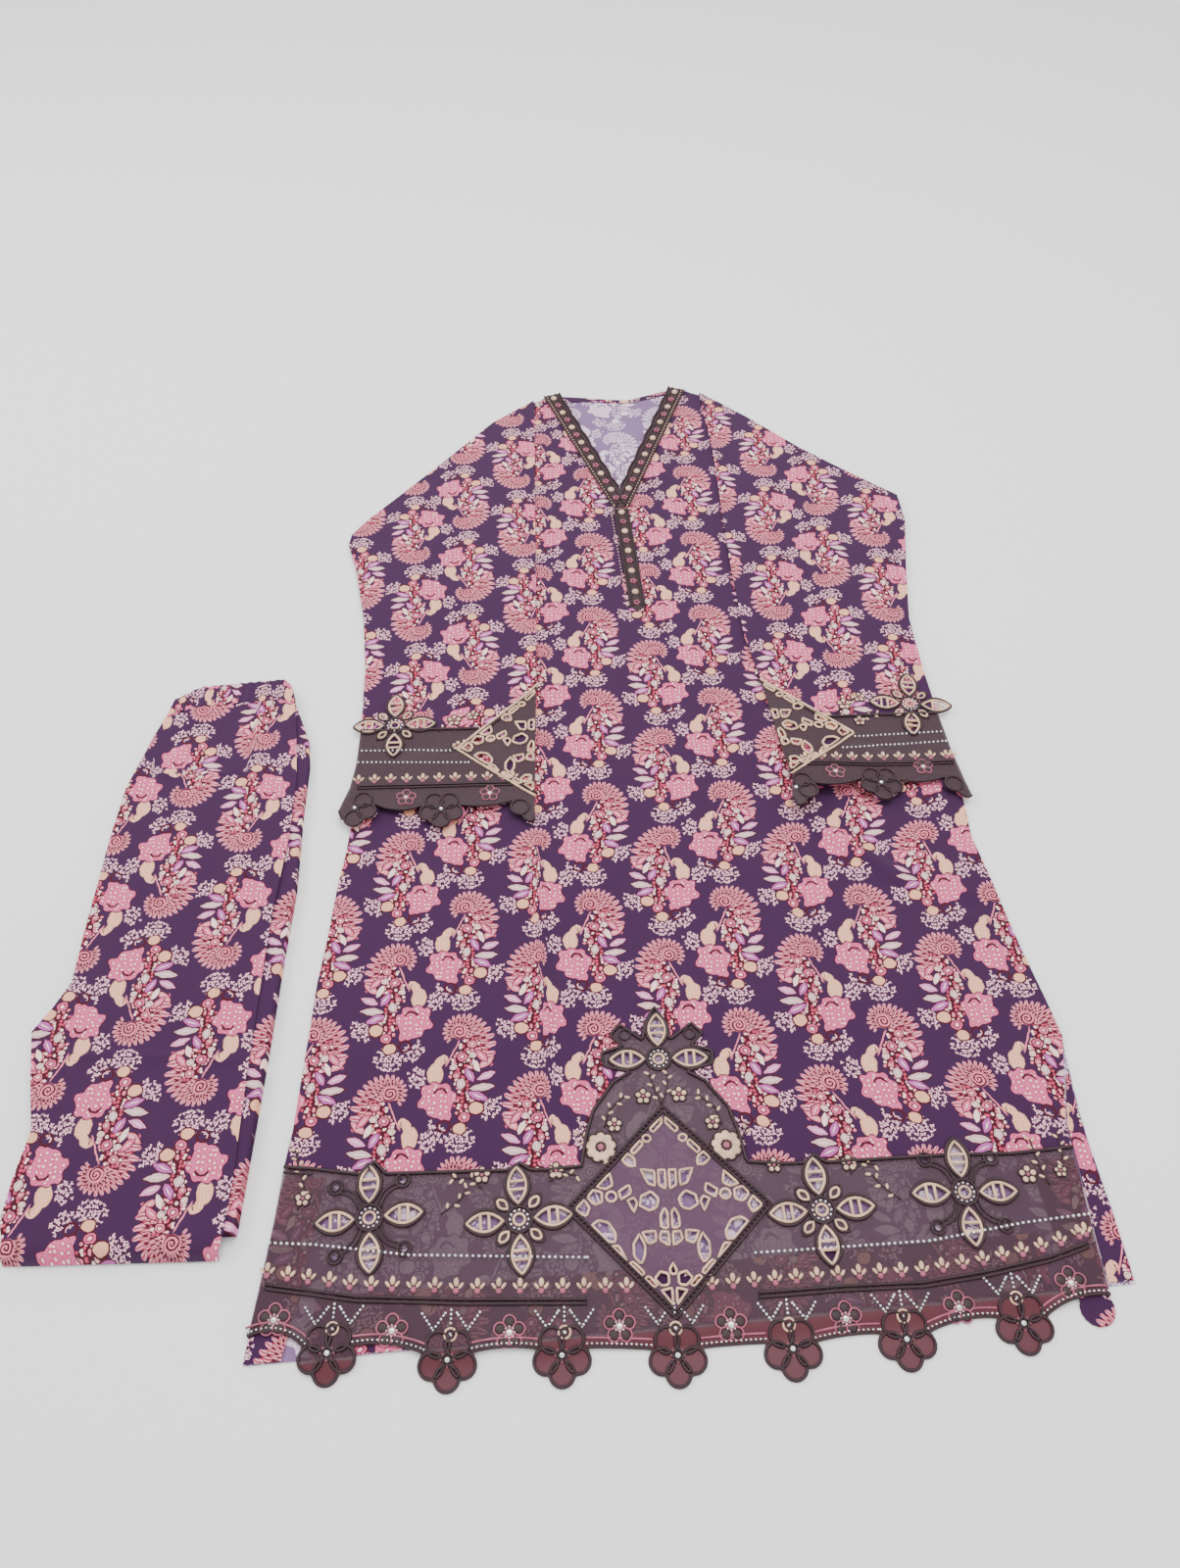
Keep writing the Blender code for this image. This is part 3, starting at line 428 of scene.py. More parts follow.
def clothSheet(name, outline, top, look, printed=None, holes=(), pitch=6.0):
    # printed gives the point of the printed length that lies at x, y
    mesh = filledMesh(name, outline, holes)
    bm = bmesh.new()
    bm.from_mesh(mesh)
    bmesh.ops.remove_doubles(bm, verts=bm.verts, dist=0.02 * mm)
    bmesh.ops.dissolve_limit(bm, angle_limit=0.01, verts=bm.verts, edges=bm.edges)
    xs = [p[0] for p in outline]
    ys = [p[1] for p in outline]
    for axis, low, high in ((0, min(xs), max(xs)), (1, min(ys), max(ys))):
        for i in range(1, int((high - low) / pitch)):
            spot = [0.0, 0.0, 0.0]
            spot[axis] = (low + pitch * i) * mm
            normal = [0.0, 0.0, 0.0]
            normal[axis] = 1.0
            bmesh.ops.bisect_plane(bm, geom=bm.verts[:] + bm.edges[:] + bm.faces[:],
                                   dist=0.01 * mm, plane_co=spot, plane_no=normal)
    bmesh.ops.triangulate(bm, faces=[f for f in bm.faces if len(f.verts) > 4])
    bmesh.ops.recalc_face_normals(bm, faces=bm.faces)
    if sum(face.normal.z * face.calc_area() for face in bm.faces) < 0.0:
        bmesh.ops.reverse_faces(bm, faces=bm.faces)
    bmesh.ops.solidify(bm, geom=bm.faces[:], thickness=clothThickness * mm)
    low = min(vert.co.z for vert in bm.verts)
    high = max(vert.co.z for vert in bm.verts)
    layerUv = bm.loops.layers.uv.new("cloth")
    for face in bm.faces:
        for loop in face.loops:
            x, y = loop.vert.co.x / mm, loop.vert.co.y / mm
            u, v = printed(x, y) if printed else (x, y)
            loop[layerUv].uv = (u * mm, v * mm)
    for vert in bm.verts:
        x, y = vert.co.x / mm, vert.co.y / mm
        below = (high - vert.co.z) / mm
        vert.co = place(x, y, top(x, y) - below)
    bm.normal_update()
    for edge in bm.edges:
        edge.smooth = len(edge.link_faces) == 2 and edge.calc_face_angle() < 0.8
    for face in bm.faces:
        face.smooth = True
    bm.to_mesh(mesh)
    bm.free()
    piece = bpy.data.objects.new(name, mesh)
    bpy.context.scene.collection.objects.link(piece)
    mesh.materials.clear()
    mesh.materials.append(look)
    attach(piece, "root")
    area = flatArea(outline) - sum(flatArea(h) for h in holes)
    width, length = max(xs) - min(xs), max(ys) - min(ys)
    if area < 0.45 * width * length:
        # a slanting or bent strip: its own length, and its mean width
        length = max(width, length)
        width = area / length
    return piece, (width * mm, length * mm), area * mm * mm


# Node helpers

class Pattern:
    # short names for the nodes of one tree

    def __init__(self, tree):
        self.tree = tree

    def add(self, kind, **settings):
        node = self.tree.nodes.new(kind)
        for key, value in settings.items():
            setattr(node, key, value)
        return node

    def feed(self, socket, value):
        if isinstance(value, bpy.types.NodeSocket):
            self.tree.links.new(value, socket)
        else:
            socket.default_value = value

    def math(self, kind, *values):
        node = self.add("ShaderNodeMath", operation=kind)
        for socket, value in zip(node.inputs, values):
            self.feed(socket, value)
        return node.outputs[0]

    def vector(self, kind, *values):
        node = self.add("ShaderNodeVectorMath", operation=kind)
        for socket, value in zip(node.inputs, values):
            self.feed(socket, value)
        return node.outputs["Value" if kind in ("LENGTH", "DISTANCE") else "Vector"]

    def below(self, value, edge, soft):
        # 1 where the value is below the edge, 0 above it
        node = self.add("ShaderNodeMapRange", interpolation_type="SMOOTHSTEP")
        for key, given in (("Value", value), ("From Min", edge - soft), ("From Max", edge + soft),
                           ("To Min", 1.0), ("To Max", 0.0)):
            self.feed(node.inputs[key], given)
        return node.outputs["Result"]

    def placed(self, point, x, y, width=1.0, height=1.0, angle=0.0):
        node = self.add("ShaderNodeMapping", vector_type="TEXTURE")
        self.feed(node.inputs["Vector"], point)
        node.inputs["Location"].default_value = (x, y, 0.0)
        node.inputs["Rotation"].default_value = (0.0, 0.0, math.radians(angle))
        node.inputs["Scale"].default_value = (width, height, 1.0)
        return node.outputs["Vector"]

    def oval(self, point, x, y, width, height, angle=0.0):
        return self.vector("LENGTH", self.placed(point, x, y, width, height, angle))

    def over(self, base, colour, mask):
        node = self.add("ShaderNodeMix", data_type="RGBA")
        self.feed(node.inputs[0], mask)
        self.feed(node.inputs[6], base)
        self.feed(node.inputs[7], colour)
        return node.outputs[2]

    def split(self, point):
        node = self.add("ShaderNodeSeparateXYZ")
        self.feed(node.inputs[0], point)
        return node.outputs[0], node.outputs[1]

    def join(self, x, y):
        node = self.add("ShaderNodeCombineXYZ")
        self.feed(node.inputs[0], x)
        self.feed(node.inputs[1], y)
        return node.outputs[0]

    def cells(self, point, pitch, randomness=0.8):
        node = self.add("ShaderNodeTexVoronoi", voronoi_dimensions="2D")
        self.feed(node.inputs["Vector"], point)
        self.feed(node.inputs["Scale"], 1.0 / pitch)
        self.feed(node.inputs["Randomness"], randomness)
        return node.outputs

    def tones(self, colour):
        node = self.add("ShaderNodeSeparateColor")
        self.feed(node.inputs[0], colour)
        return node.outputs[0], node.outputs[1]

    def pick(self, first, second, mask):
        node = self.add("ShaderNodeMix", data_type="VECTOR")
        self.feed(node.inputs[0], mask)
        self.feed(node.inputs[4], first)
        self.feed(node.inputs[5], second)
        return node.outputs[1]

    def curve(self, value, points):
        # a value read off a smooth line; points: x, y from 0 to 1
        node = self.add("ShaderNodeFloatCurve")
        self.feed(node.inputs["Value"], value)
        line = node.mapping.curves[0]
        for i, (x, y) in enumerate(points):
            if i < 2:
                line.points[i].location = (x, y)
            else:
                line.points.new(x, y)
        node.mapping.update()
        return node.outputs[0]


# How the view transform and the lights turn a base colour into the one on screen
shownAtHalf = 0.64
viewSlope = 1.59
lightGain = 1.4


def rgb(red, green, blue):
    # the colour from 0 to 255 that the lit cloth shows on screen, as a linear base colour
    def linear(value):
        value /= 255.0
        seen = value / 12.92 if value <= 0.04045 else ((value + 0.055) / 1.055) ** 2.4
        return min((seen / shownAtHalf) ** viewSlope / lightGain, 0.95)
    return (linear(red), linear(green), linear(blue), 1.0)


tones = {
    "ground": rgb(93, 60, 97),
    "dark": rgb(104, 40, 64),
    "pink": rgb(206, 126, 152),
    "deepPink": rgb(192, 102, 124),
    "rose": rgb(214, 146, 160),
    "cream": rgb(230, 204, 200),
    "greyCream": rgb(202, 180, 182),
    "beige": rgb(216, 176, 156),
    "lilac": rgb(182, 118, 170),
    "paleLilac": rgb(206, 156, 188),
    "leafPink": rgb(204, 128, 160),
    "lace": rgb(220, 188, 198),
}
printPeriod = (117.0, 117.5)
printOrigin = (-40.5, 453.5)
mirrorOrigin = (-92.5, 402.5)
plumeLow = -99.5

# How far the leaves round the curl reach: share of 290 degrees, share of 64 mm
plumeReach = ((0.0, 0.215), (0.1, 0.22), (0.22, 0.22), (0.4, 0.24), (0.52, 0.26), (0.6, 0.29),
              (0.7, 0.345), (0.77, 0.405), (0.83, 0.47), (0.87, 0.51), (0.91, 0.56), (0.955, 0.63),
              (1.0, 0.74))
# Bend of the leaves towards the head: share of 290 degrees, share of 4 leaves
leafBend = ((0.0, 0.08), (0.45, 0.0), (0.6, 0.1), (0.75, 0.4), (1.0, 0.9))
# Which leaf each angle falls in: share of 290 degrees, share of 15 leaves
leafCount = ((0.0, 0.0), (0.172, 0.187), (0.483, 0.52), (0.638, 0.667), (0.77, 0.787), (0.87, 0.88),
             (0.96, 0.96), (1.0, 1.0))
# Room that a plume takes across its column: share of the repeat from its foot, middle and half width of 50 mm
plumeMiddle = ((0.0, 0.54), (0.094, 0.46), (0.18, 0.44), (0.306, 0.54), (0.434, 0.46), (0.536, 0.42),
               (0.69, 0.58), (0.817, 0.64), (0.945, 0.66), (1.0, 0.62))
plumeHalf = ((0.0, 0.18), (0.094, 0.32), (0.18, 0.44), (0.306, 0.68), (0.434, 0.68), (0.536, 0.70),
             (0.69, 0.56), (0.817, 0.46), (0.945, 0.38), (1.0, 0.24))
# Outline of the scalloped leaf round its middle: share of a turn, share of 19 mm
leafReach = ((0.0, 0.74), (0.058, 0.82), (0.11, 0.72), (0.164, 0.84), (0.23, 0.76), (0.289, 0.86),
             (0.33, 0.80), (0.372, 0.94), (0.45, 0.72), (0.538, 0.86), (0.60, 0.62), (0.667, 0.72),
             (0.75, 0.72), (0.836, 1.0), (0.89, 0.72), (0.956, 0.66), (1.0, 0.74))
# Sprigs of lace: x, y, half width, half height, angle
laceZones = ((-31.5, -38.5, 7.0, 9.5, 20.0), (-17.5, -83.0, 8.5, 8.5, 0.0), (2.0, -89.5, 12.5, 9.5, 12.0),
             (27.5, -64.0, 7.5, 10.5, -30.0))
# Blades: x, y, half length, half width, angle, tone
blades = (
    (22.0, -27.0, 8.4, 3.4, 38.0, "rose"),
    (22.6, -38.0, 8.6, 3.6, 24.0, "paleLilac"),
    (19.5, -47.6, 10.6, 3.8, 6.0, "greyCream"),
    (16.4, -54.6, 9.0, 3.7, -22.0, "lilac"),
    (9.4, -37.2, 7.4, 3.6, -60.0, "lilac"),
    (14.4, -29.6, 6.6, 2.8, -66.0, "cream"),
    (18.6, -21.6, 7.2, 3.2, -48.0, "pink"),
    (3.0, -44.4, 5.0, 4.0, 80.0, "greyCream"),
)
# Rounds and rosettes: x, y, radius, tone, ringed
rounds = (
    (10.4, -11.0, 3.9, "rose", True),
    (3.0, -22.0, 4.4, "pink", True),
    (11.4, -20.4, 3.2, "cream", True),
    (15.2, -64.4, 6.0, "beige", False),
    (6.4, -71.6, 4.8, "pink", True),
    (3.2, -80.4, 5.4, "beige", False),
    (-3.4, -30.6, 3.0, "cream", True),
    (-0.8, -37.6, 2.8, "rose", True),
)


def motif(p, point):
    # one paisley plume; point is in mm from the curl of its head
    x, y = p.split(point)
    radius = p.vector("LENGTH", point)
    angle = p.math("ARCTAN2", y, x)
    turn = p.math("WRAP", p.math("SUBTRACT", math.radians(230.0), angle), math.tau, 0.0)
    share = p.math("DIVIDE", turn, math.radians(290.0))
    reach = p.math("MULTIPLY", p.curve(share, plumeReach), 64.0)
    depth = p.math("DIVIDE", radius, reach)
    inTurn = p.below(turn, math.radians(279.0), 0.03)

    # lace of tiny star flowers, kept or left out cell by cell
    lace = p.cells(point, 2.8, 0.85)
    spot = lace["Position"]
    zone = p.oval(spot, *laceZones[0])
    for other in laceZones[1:]:
        zone = p.math("MINIMUM", zone, p.oval(spot, *other))
    chance, other = p.tones(lace["Color"])
    kept = p.below(p.math("ADD", zone, p.math("MULTIPLY", chance, 0.3)), 1.15, 0.01)
    starX, starY = p.split(p.vector("SUBTRACT", point, spot))
    starTurn = p.math("ADD", p.math("MULTIPLY", p.math("ARCTAN2", starY, starX), 3.0),
                      p.math("MULTIPLY", chance, 30.0))
    star = p.math("DIVIDE", lace["Distance"],
                  p.math("ADD", 0.37, p.math("MULTIPLY", p.math("SINE", starTurn), 0.17)))
    colour = p.over(tones["ground"], tones["dark"], p.math("MULTIPLY", kept, p.below(star, 1.45, 0.1)))
    colour = p.over(colour, tones["lace"], p.math("MULTIPLY", kept, p.below(star, 1.0, 0.12)))

    # leaves round the head and down the outer side, in rows like scales
    bend = p.math("MULTIPLY", p.math("MULTIPLY", depth, p.curve(share, leafBend)), 4.0)
    step = p.math("ADD", p.math("MULTIPLY", p.curve(share, leafCount), 15.0), bend)
    leaf = p.math("ABSOLUTE", p.math("SUBTRACT", p.math("FRACT", step), 0.5))
    between = p.math("SUBTRACT", 0.5, leaf)
    rows = ((1.0, 0.40, "pink", leaf), (0.80, 0.34, "deepPink", between), (0.61, 0.28, "pink", leaf),
            (0.44, 0.22, "rose", between))
    for limit, tooth, tone, aside in rows:
        rim = p.math("ADD", depth, p.math("MULTIPLY", aside, tooth))
        rimLimit = limit + (0.0 if limit == 1.0 else 0.04)
        colour = p.over(colour, tones["dark"], p.math("MULTIPLY", p.below(rim, rimLimit, 0.015), inTurn))
        inner = p.math("ADD", depth, p.math("MULTIPLY", p.math("MULTIPLY", aside, aside), tooth * 3.4))
        colour = p.over(colour, tones[tone], p.math("MULTIPLY", p.below(inner, limit - 0.015, 0.02), inTurn))
        rib = p.math("MULTIPLY", p.below(aside, 0.07, 0.06), p.below(depth, limit - 0.05, 0.03))
        light = p.math("MULTIPLY", p.below(p.math("ABSOLUTE", p.math("SUBTRACT", aside, 0.17)), 0.05, 0.06),
                       p.below(depth, limit - 0.06, 0.03))
        colour = p.over(colour, tones["cream"], p.math("MULTIPLY", p.math("MULTIPLY", light, 0.7), inTurn))
        colour = p.over(colour, tones["dark"], p.math("MULTIPLY", p.math("MULTIPLY", rib, 0.6), inTurn))

    # densely dotted inside of the plume
    dots = p.cells(point, 3.3, 0.8)
    spot = dots["Position"]
    inside = p.oval(spot, 9.0, -14.0, 9.5, 9.0, 0.0)
    for other in ((3.0, -34.0, 9.5, 17.0, 0.0), (6.5, -60.0, 8.5, 13.0, 8.0)):
        inside = p.math("MINIMUM", inside, p.oval(spot, *other))
    inInside = p.below(inside, 1.0, 0.02)
    colour = p.over(colour, tones["dark"], inInside)
    chance, other = p.tones(dots["Color"])
    dotTone = p.over(tones["cream"], tones["rose"], p.below(chance, 0.45, 0.03))
    dotTone = p.over(dotTone, tones["deepPink"], p.below(other, 0.3, 0.03))
    colour = p.over(colour, dotTone, p.math("MULTIPLY", inInside, p.below(dots["Distance"], 0.38, 0.07)))

    # curled head
    spiral = p.math("SINE", p.math("SUBTRACT", p.math("MULTIPLY", radius, 2.3), angle))
    head = p.below(radius, 6.2, 0.4)
    studs = p.math("SINE", p.math("MULTIPLY", angle, 17.0))
    studded = p.math("MULTIPLY", p.below(p.math("ABSOLUTE", p.math("SUBTRACT", radius, 8.2)), 0.9, 0.4),
                     p.below(studs, -0.1, 0.3))
    colour = p.over(colour, tones["dark"], p.math("MULTIPLY", studded, inTurn))
    colour = p.over(colour, tones["dark"], head)
    colour = p.over(colour, tones["rose"], p.math("MULTIPLY", head, p.below(spiral, 0.15, 0.4)))

    for bx, by, half, wide, turnBy, tone in blades:
        along, aside = p.split(p.placed(point, bx, by, half, wide, turnBy))
        aside = p.math("ABSOLUTE", aside)
        blade = p.math("ADD", p.math("MULTIPLY", along, along), aside)
        colour = p.over(colour, tones["dark"], p.below(blade, 1.12, 0.05))
        colour = p.over(colour, tones[tone], p.below(blade, 0.86, 0.06))
        colour = p.over(colour, tones["cream"], p.below(p.math("ADD", blade, aside), 0.3, 0.15))

    for rx, ry, size, tone, ringed in rounds:
        away = p.oval(point, rx, ry, size, size * 0.88)
        colour = p.over(colour, tones["dark"], p.below(away, 1.12, 0.05))
        colour = p.over(colour, tones[tone], p.below(away, 0.9, 0.05))
        if ringed:
            ring = p.math("ABSOLUTE", p.math("SUBTRACT", away, 0.52))
            colour = p.over(colour, tones["dark"], p.below(ring, 0.07, 0.06))
            colour = p.over(colour, tones["cream"], p.below(away, 0.3, 0.08))

    # beige paisley with its hook
    paisley = p.math("MINIMUM", p.oval(point, -17.6, -36.0, 6.2, 8.8, 4.0),
                     p.oval(point, -14.8, -26.4, 3.4, 5.8, -24.0))
    tail = p.math("ABSOLUTE", p.math("SUBTRACT", p.oval(point, -11.8, -24.0, 2.8, 2.8), 1.0))
    tail = p.math("MAXIMUM", p.math("MULTIPLY", tail, 2.6), p.below(y, -24.8, 0.2))
    paisley = p.math("MINIMUM", paisley, tail)
    colour = p.over(colour, tones["beige"], p.below(paisley, 1.0, 0.06))
    seeds = p.cells(point, 2.6, 0.5)
    colour = p.over(colour, tones["cream"],
                    p.math("MULTIPLY", p.below(paisley, 0.8, 0.05), p.below(seeds["Distance"], 0.2, 0.08)))

    # scalloped leaf with pearls and a dark hook
    leafPoint = p.placed(point, -14.6, -58.0)
    leafX, leafY = p.split(leafPoint)
    share = p.math("FRACT", p.math("ADD", p.math("DIVIDE", p.math("ARCTAN2", leafY, leafX), math.tau), 1.0))
    edge = p.math("DIVIDE", p.vector("LENGTH", leafPoint), p.math("MULTIPLY", p.curve(share, leafReach), 19.0))
    colour = p.over(colour, tones["dark"], p.below(edge, 1.02, 0.03))
    colour = p.over(colour, tones["leafPink"], p.below(edge, 0.96, 0.03))
    pearls = p.cells(point, 4.6, 0.55)
    ringed = p.below(p.math("ABSOLUTE", p.math("SUBTRACT", pearls["Distance"], 0.38)), 0.06, 0.04)
    colour = p.over(colour, tones["deepPink"], p.math("MULTIPLY", p.below(edge, 0.9, 0.03), ringed))
    colour = p.over(colour, tones["cream"],
                    p.math("MULTIPLY", p.below(edge, 0.88, 0.03), p.below(pearls["Distance"], 0.2, 0.09)))
    for hx, hy, size, lowest in ((-12.6, -53.0, 4.8, -52.0), (-9.0, -78.2, 4.6, -99.0)):
        ring = p.math("ABSOLUTE", p.math("SUBTRACT", p.oval(point, hx, hy, size, size), 1.0))
        above = p.below(p.math("SUBTRACT", lowest, y), 0.0, 1.0)
        colour = p.over(colour, tones["dark"], p.math("MULTIPLY", above, p.below(ring, 0.2, 0.08)))

    # stem that closes the plume on its inner side
    along, aside = p.split(p.placed(point, -4.6, -18.6, 11.6, 0.6, 66.0))
    line = p.math("MAXIMUM", p.math("ABSOLUTE", aside), p.math("ABSOLUTE", along))
    colour = p.over(colour, tones["rose"], p.below(line, 1.0, 0.15))
    return colour


def printAt(p, inMm):
    # the print at a point of the cloth, in mm: upright plumes, and mirrored ones half a step on
    x, y = p.split(inMm)
    halfX = printPeriod[0] / 2.0
    places = []
    for (ox, oy), flip in ((printOrigin, 1.0), (mirrorOrigin, -1.0)):
        cellX = p.math("MULTIPLY", p.math("WRAP", p.math("SUBTRACT", x, ox), halfX, -halfX), flip)
        cellY = p.math("WRAP", p.math("SUBTRACT", y, oy), plumeLow + printPeriod[1], plumeLow)
        share = p.math("DIVIDE", p.math("SUBTRACT", cellY, plumeLow), printPeriod[1])
        middle = p.math("MULTIPLY", p.math("SUBTRACT", p.curve(share, plumeMiddle), 0.5), 50.0)
        half = p.math("MULTIPLY", p.curve(share, plumeHalf), 50.0)
        away = p.math("DIVIDE", p.math("ABSOLUTE", p.math("SUBTRACT", cellX, middle)), half)
        places.append((p.join(cellX, cellY), away))
    return motif(p, p.pick(places[0][0], places[1][0], p.math("LESS_THAN", places[1][1], places[0][1])))


def printGroup():
    tree = bpy.data.node_groups.new("paisleyPrint", "ShaderNodeTree")
    tree.interface.new_socket("Place", in_out="INPUT", socket_type="NodeSocketVector")
    tree.interface.new_socket("Colour", in_out="OUTPUT", socket_type="NodeSocketColor")
    p = Pattern(tree)
    start = p.add("NodeGroupInput").outputs[0]
    inMm = p.vector("MULTIPLY", start, (1000.0, 1000.0, 0.0))
    wobble = p.add("ShaderNodeTexNoise", noise_dimensions="2D")
    p.feed(wobble.inputs["Vector"], inMm)
    wobble.inputs["Scale"].default_value = 0.22
    wobble.inputs["Detail"].default_value = 1.0
    shift = p.vector("MULTIPLY", p.vector("SUBTRACT", wobble.outputs["Color"], (0.5, 0.5, 0.5)),
                     (1.6, 1.6, 0.0))
    x, y = p.split(p.vector("ADD", inMm, shift))
    colour = printAt(p, p.join(x, y))
    end = p.add("NodeGroupOutput")
    p.feed(end.inputs[0], colour)
    return tree


def newMaterial(name):
    material = bpy.data.materials.new(name)
    material.use_nodes = True
    tree = material.node_tree
    shader = tree.nodes["Principled BSDF"]
    return material, Pattern(tree), shader


def weaveBump(p, shader, source, pitch, strength):
    wave = p.add("ShaderNodeTexNoise", noise_dimensions="3D")
    p.feed(wave.inputs["Vector"], source)
    wave.inputs["Scale"].default_value = 1.0 / (pitch * mm)
    wave.inputs["Detail"].default_value = 2.0
    bump = p.add("ShaderNodeBump")
    bump.inputs["Strength"].default_value = strength
    bump.inputs["Distance"].default_value = 0.0006
    p.feed(bump.inputs["Height"], wave.outputs["Fac"])
    p.feed(shader.inputs["Normal"], bump.outputs["Normal"])


def printedCloth(name, group, wrongSide=False):
    material, p, shader = newMaterial(name)
    uv = p.add("ShaderNodeUVMap", uv_map="cloth")
    drawn = p.add("ShaderNodeGroup")
    drawn.node_tree = group
    p.feed(drawn.inputs[0], uv.outputs[0])
    colour = drawn.outputs[0]
    if wrongSide:
        grey = p.add("ShaderNodeRGBToBW")
        p.feed(grey.inputs[0], colour)
        pale = p.below(grey.outputs[0], 0.16, 0.12)
        colour = p.over(rgb(214, 200, 212), rgb(150, 128, 158), pale)
    p.feed(shader.inputs["Base Color"], colour)
    shader.inputs["Roughness"].default_value = 0.85
    shader.inputs["Specular IOR Level"].default_value = 0.2
    shader.inputs["Sheen Weight"].default_value = 0.08
    weaveBump(p, shader, uv.outputs[0], 2.5, 0.25)
    return material


def plainLook(name, colour, roughness=0.6, metallic=0.0, bump=None, clear=1.0):
    material, p, shader = newMaterial(name)
    place3 = p.add("ShaderNodeTexCoord").outputs["Object"]
    tint = p.add("ShaderNodeTexNoise")
    p.feed(tint.inputs["Vector"], place3)
    tint.inputs["Scale"].default_value = 120.0
    dark = tuple(c * 0.72 for c in colour[:3]) + (1.0,)
    p.feed(shader.inputs["Base Color"], p.over(colour, dark, p.below(tint.outputs["Fac"], 0.48, 0.12)))
    shader.inputs["Roughness"].default_value = roughness
    shader.inputs["Metallic"].default_value = metallic
    shader.inputs["Alpha"].default_value = clear
    if bump:
        weaveBump(p, shader, place3, *bump)
    return material


def organzaLook(name, colour, clear, overFloor=None):
    # sheer weave; past the back's hem it reads denser, in the colour of overFloor
    material, p, shader = newMaterial(name)
    place3 = p.add("ShaderNodeTexCoord").outputs["Object"]
    tint = p.add("ShaderNodeTexNoise")
    p.feed(tint.inputs["Vector"], place3)
    tint.inputs["Scale"].default_value = 400.0
    tint.inputs["Detail"].default_value = 2.0
    dense = p.math("ADD", clear - 0.08, p.math("MULTIPLY", tint.outputs["Fac"], 0.16))
    if overFloor:
        x, y = p.split(place3)
        past = p.below(p.math("SUBTRACT", y, p.math("MULTIPLY", x, 0.0594)), -0.5375, 0.002)
        dense = p.math("MAXIMUM", dense, p.math("MULTIPLY", past, 0.93))
        p.feed(shader.inputs["Base Color"], p.over(colour, overFloor, past))
    else:
        p.feed(shader.inputs["Base Color"], colour)
    p.feed(shader.inputs["Alpha"], dense)
    shader.inputs["Roughness"].default_value = 0.5
    shader.inputs["Sheen Weight"].default_value = 0.1
    return material


group = printGroup()
printLook = printedCloth("printedCotton", group)
insideLook = printedCloth("printedCottonInside", group, wrongSide=True)
organza = organzaLook("organza", rgb(94, 40, 74), 0.5, rgb(112, 28, 62))
diamondOrganza = organzaLook("diamondOrganza", rgb(112, 64, 104), 0.6)
cuffOrganza = organzaLook("cuffOrganza", rgb(82, 34, 62), 0.82)
creamThread = plainLook("creamThread", rgb(214, 190, 170), 0.5, 0.0, (0.8, 0.6))
wineThread = plainLook("wineThread", rgb(76, 26, 52), 0.5, 0.0, (0.8, 0.6))
roseThread = plainLook("roseThread", rgb(176, 118, 136), 0.5, 0.0, (0.8, 0.6))
silver = plainLook("silverBead", rgb(236, 232, 232), 0.18, 0.9)
print("materials made")


# Small things joined in one mesh

class Heap:
    # tubes, domes and rods collected as points and faces

    def __init__(self):
        self.points = []
        self.faces = []

    def tube(self, path, radius, sides=6, closed=False):
        count = len(path)
        if count < 2:
            return
        first = len(self.points)
        up = Vector((0.0, 0.0, 1.0))
        for i, point in enumerate(path):
            if closed:
                along = path[(i + 1) % count] - path[i - 1]
            else:
                along = path[min(i + 1, count - 1)] - path[max(i - 1, 0)]
            if along.length < 1e-9:
                along = Vector((1.0, 0.0, 0.0))
            along.normalize()
            side = along.cross(up).normalized()
            rise = side.cross(along)
            for k in range(sides):
                a = math.tau * k / sides
                self.points.append(point + (side * math.cos(a) + rise * math.sin(a)) * radius * mm)
        rings = count if closed else count - 1
        for i in range(rings):
            a0, b0 = first + i * sides, first + ((i + 1) % count) * sides
            for k in range(sides):
                n = (k + 1) % sides
                self.faces.append((a0 + k, b0 + k, b0 + n, a0 + n))
        if not closed:
            self.faces.append(tuple(first + k for k in range(sides)))
            self.faces.append(tuple(first + (count - 1) * sides + k for k in reversed(range(sides))))

    def dome(self, centre3, radius, height, around=8, stretch=1.0, angle=0.0):
        # closed low dome; stretch lengthens it along the angle
        first = len(self.points)
        c, s = math.cos(angle), math.sin(angle)
        rows = ((1.0, -0.4), (1.0, 0.0), (0.8, 0.6), (0.42, 0.9))
        for wide, rise in rows:
            for k in range(around):
                a = math.tau * k / around
                lx, ly = math.cos(a) * radius * wide * stretch, math.sin(a) * radius * wide
                self.points.append(centre3 + Vector((lx * c - ly * s, lx * s + ly * c, rise * height)) * mm)
        self.points.append(centre3 + Vector((0.0, 0.0, height * mm)))
        peak = len(self.points) - 1
        for row in range(len(rows) - 1):
            for k in range(around):
                n = (k + 1) % around
                a0, b0 = first + row * around, first + (row + 1) * around
                self.faces.append((a0 + k, a0 + n, b0 + n, b0 + k))
        last = first + (len(rows) - 1) * around
        for k in range(around):
            self.faces.append((last + k, last + (k + 1) % around, peak))
        self.faces.append(tuple(first + k for k in reversed(range(around))))

    def make(self, name, look, slotName=None):
        mesh = bpy.data.meshes.new(name)
        mesh.from_pydata([tuple(p) for p in self.points], [], self.faces)
        bm = bmesh.new()
        bm.from_mesh(mesh)
        bmesh.ops.recalc_face_normals(bm, faces=bm.faces)
        for face in bm.faces:
            face.smooth = True
        bm.to_mesh(mesh)
        bm.free()
        piece = bpy.data.objects.new(name, mesh)
        bpy.context.scene.collection.objects.link(piece)
        mesh.materials.append(look)
        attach(piece, "root")
        return piece


def onCloth(points, top, lift):
    return [place(x, y, top(x, y) + lift) for x, y in points]


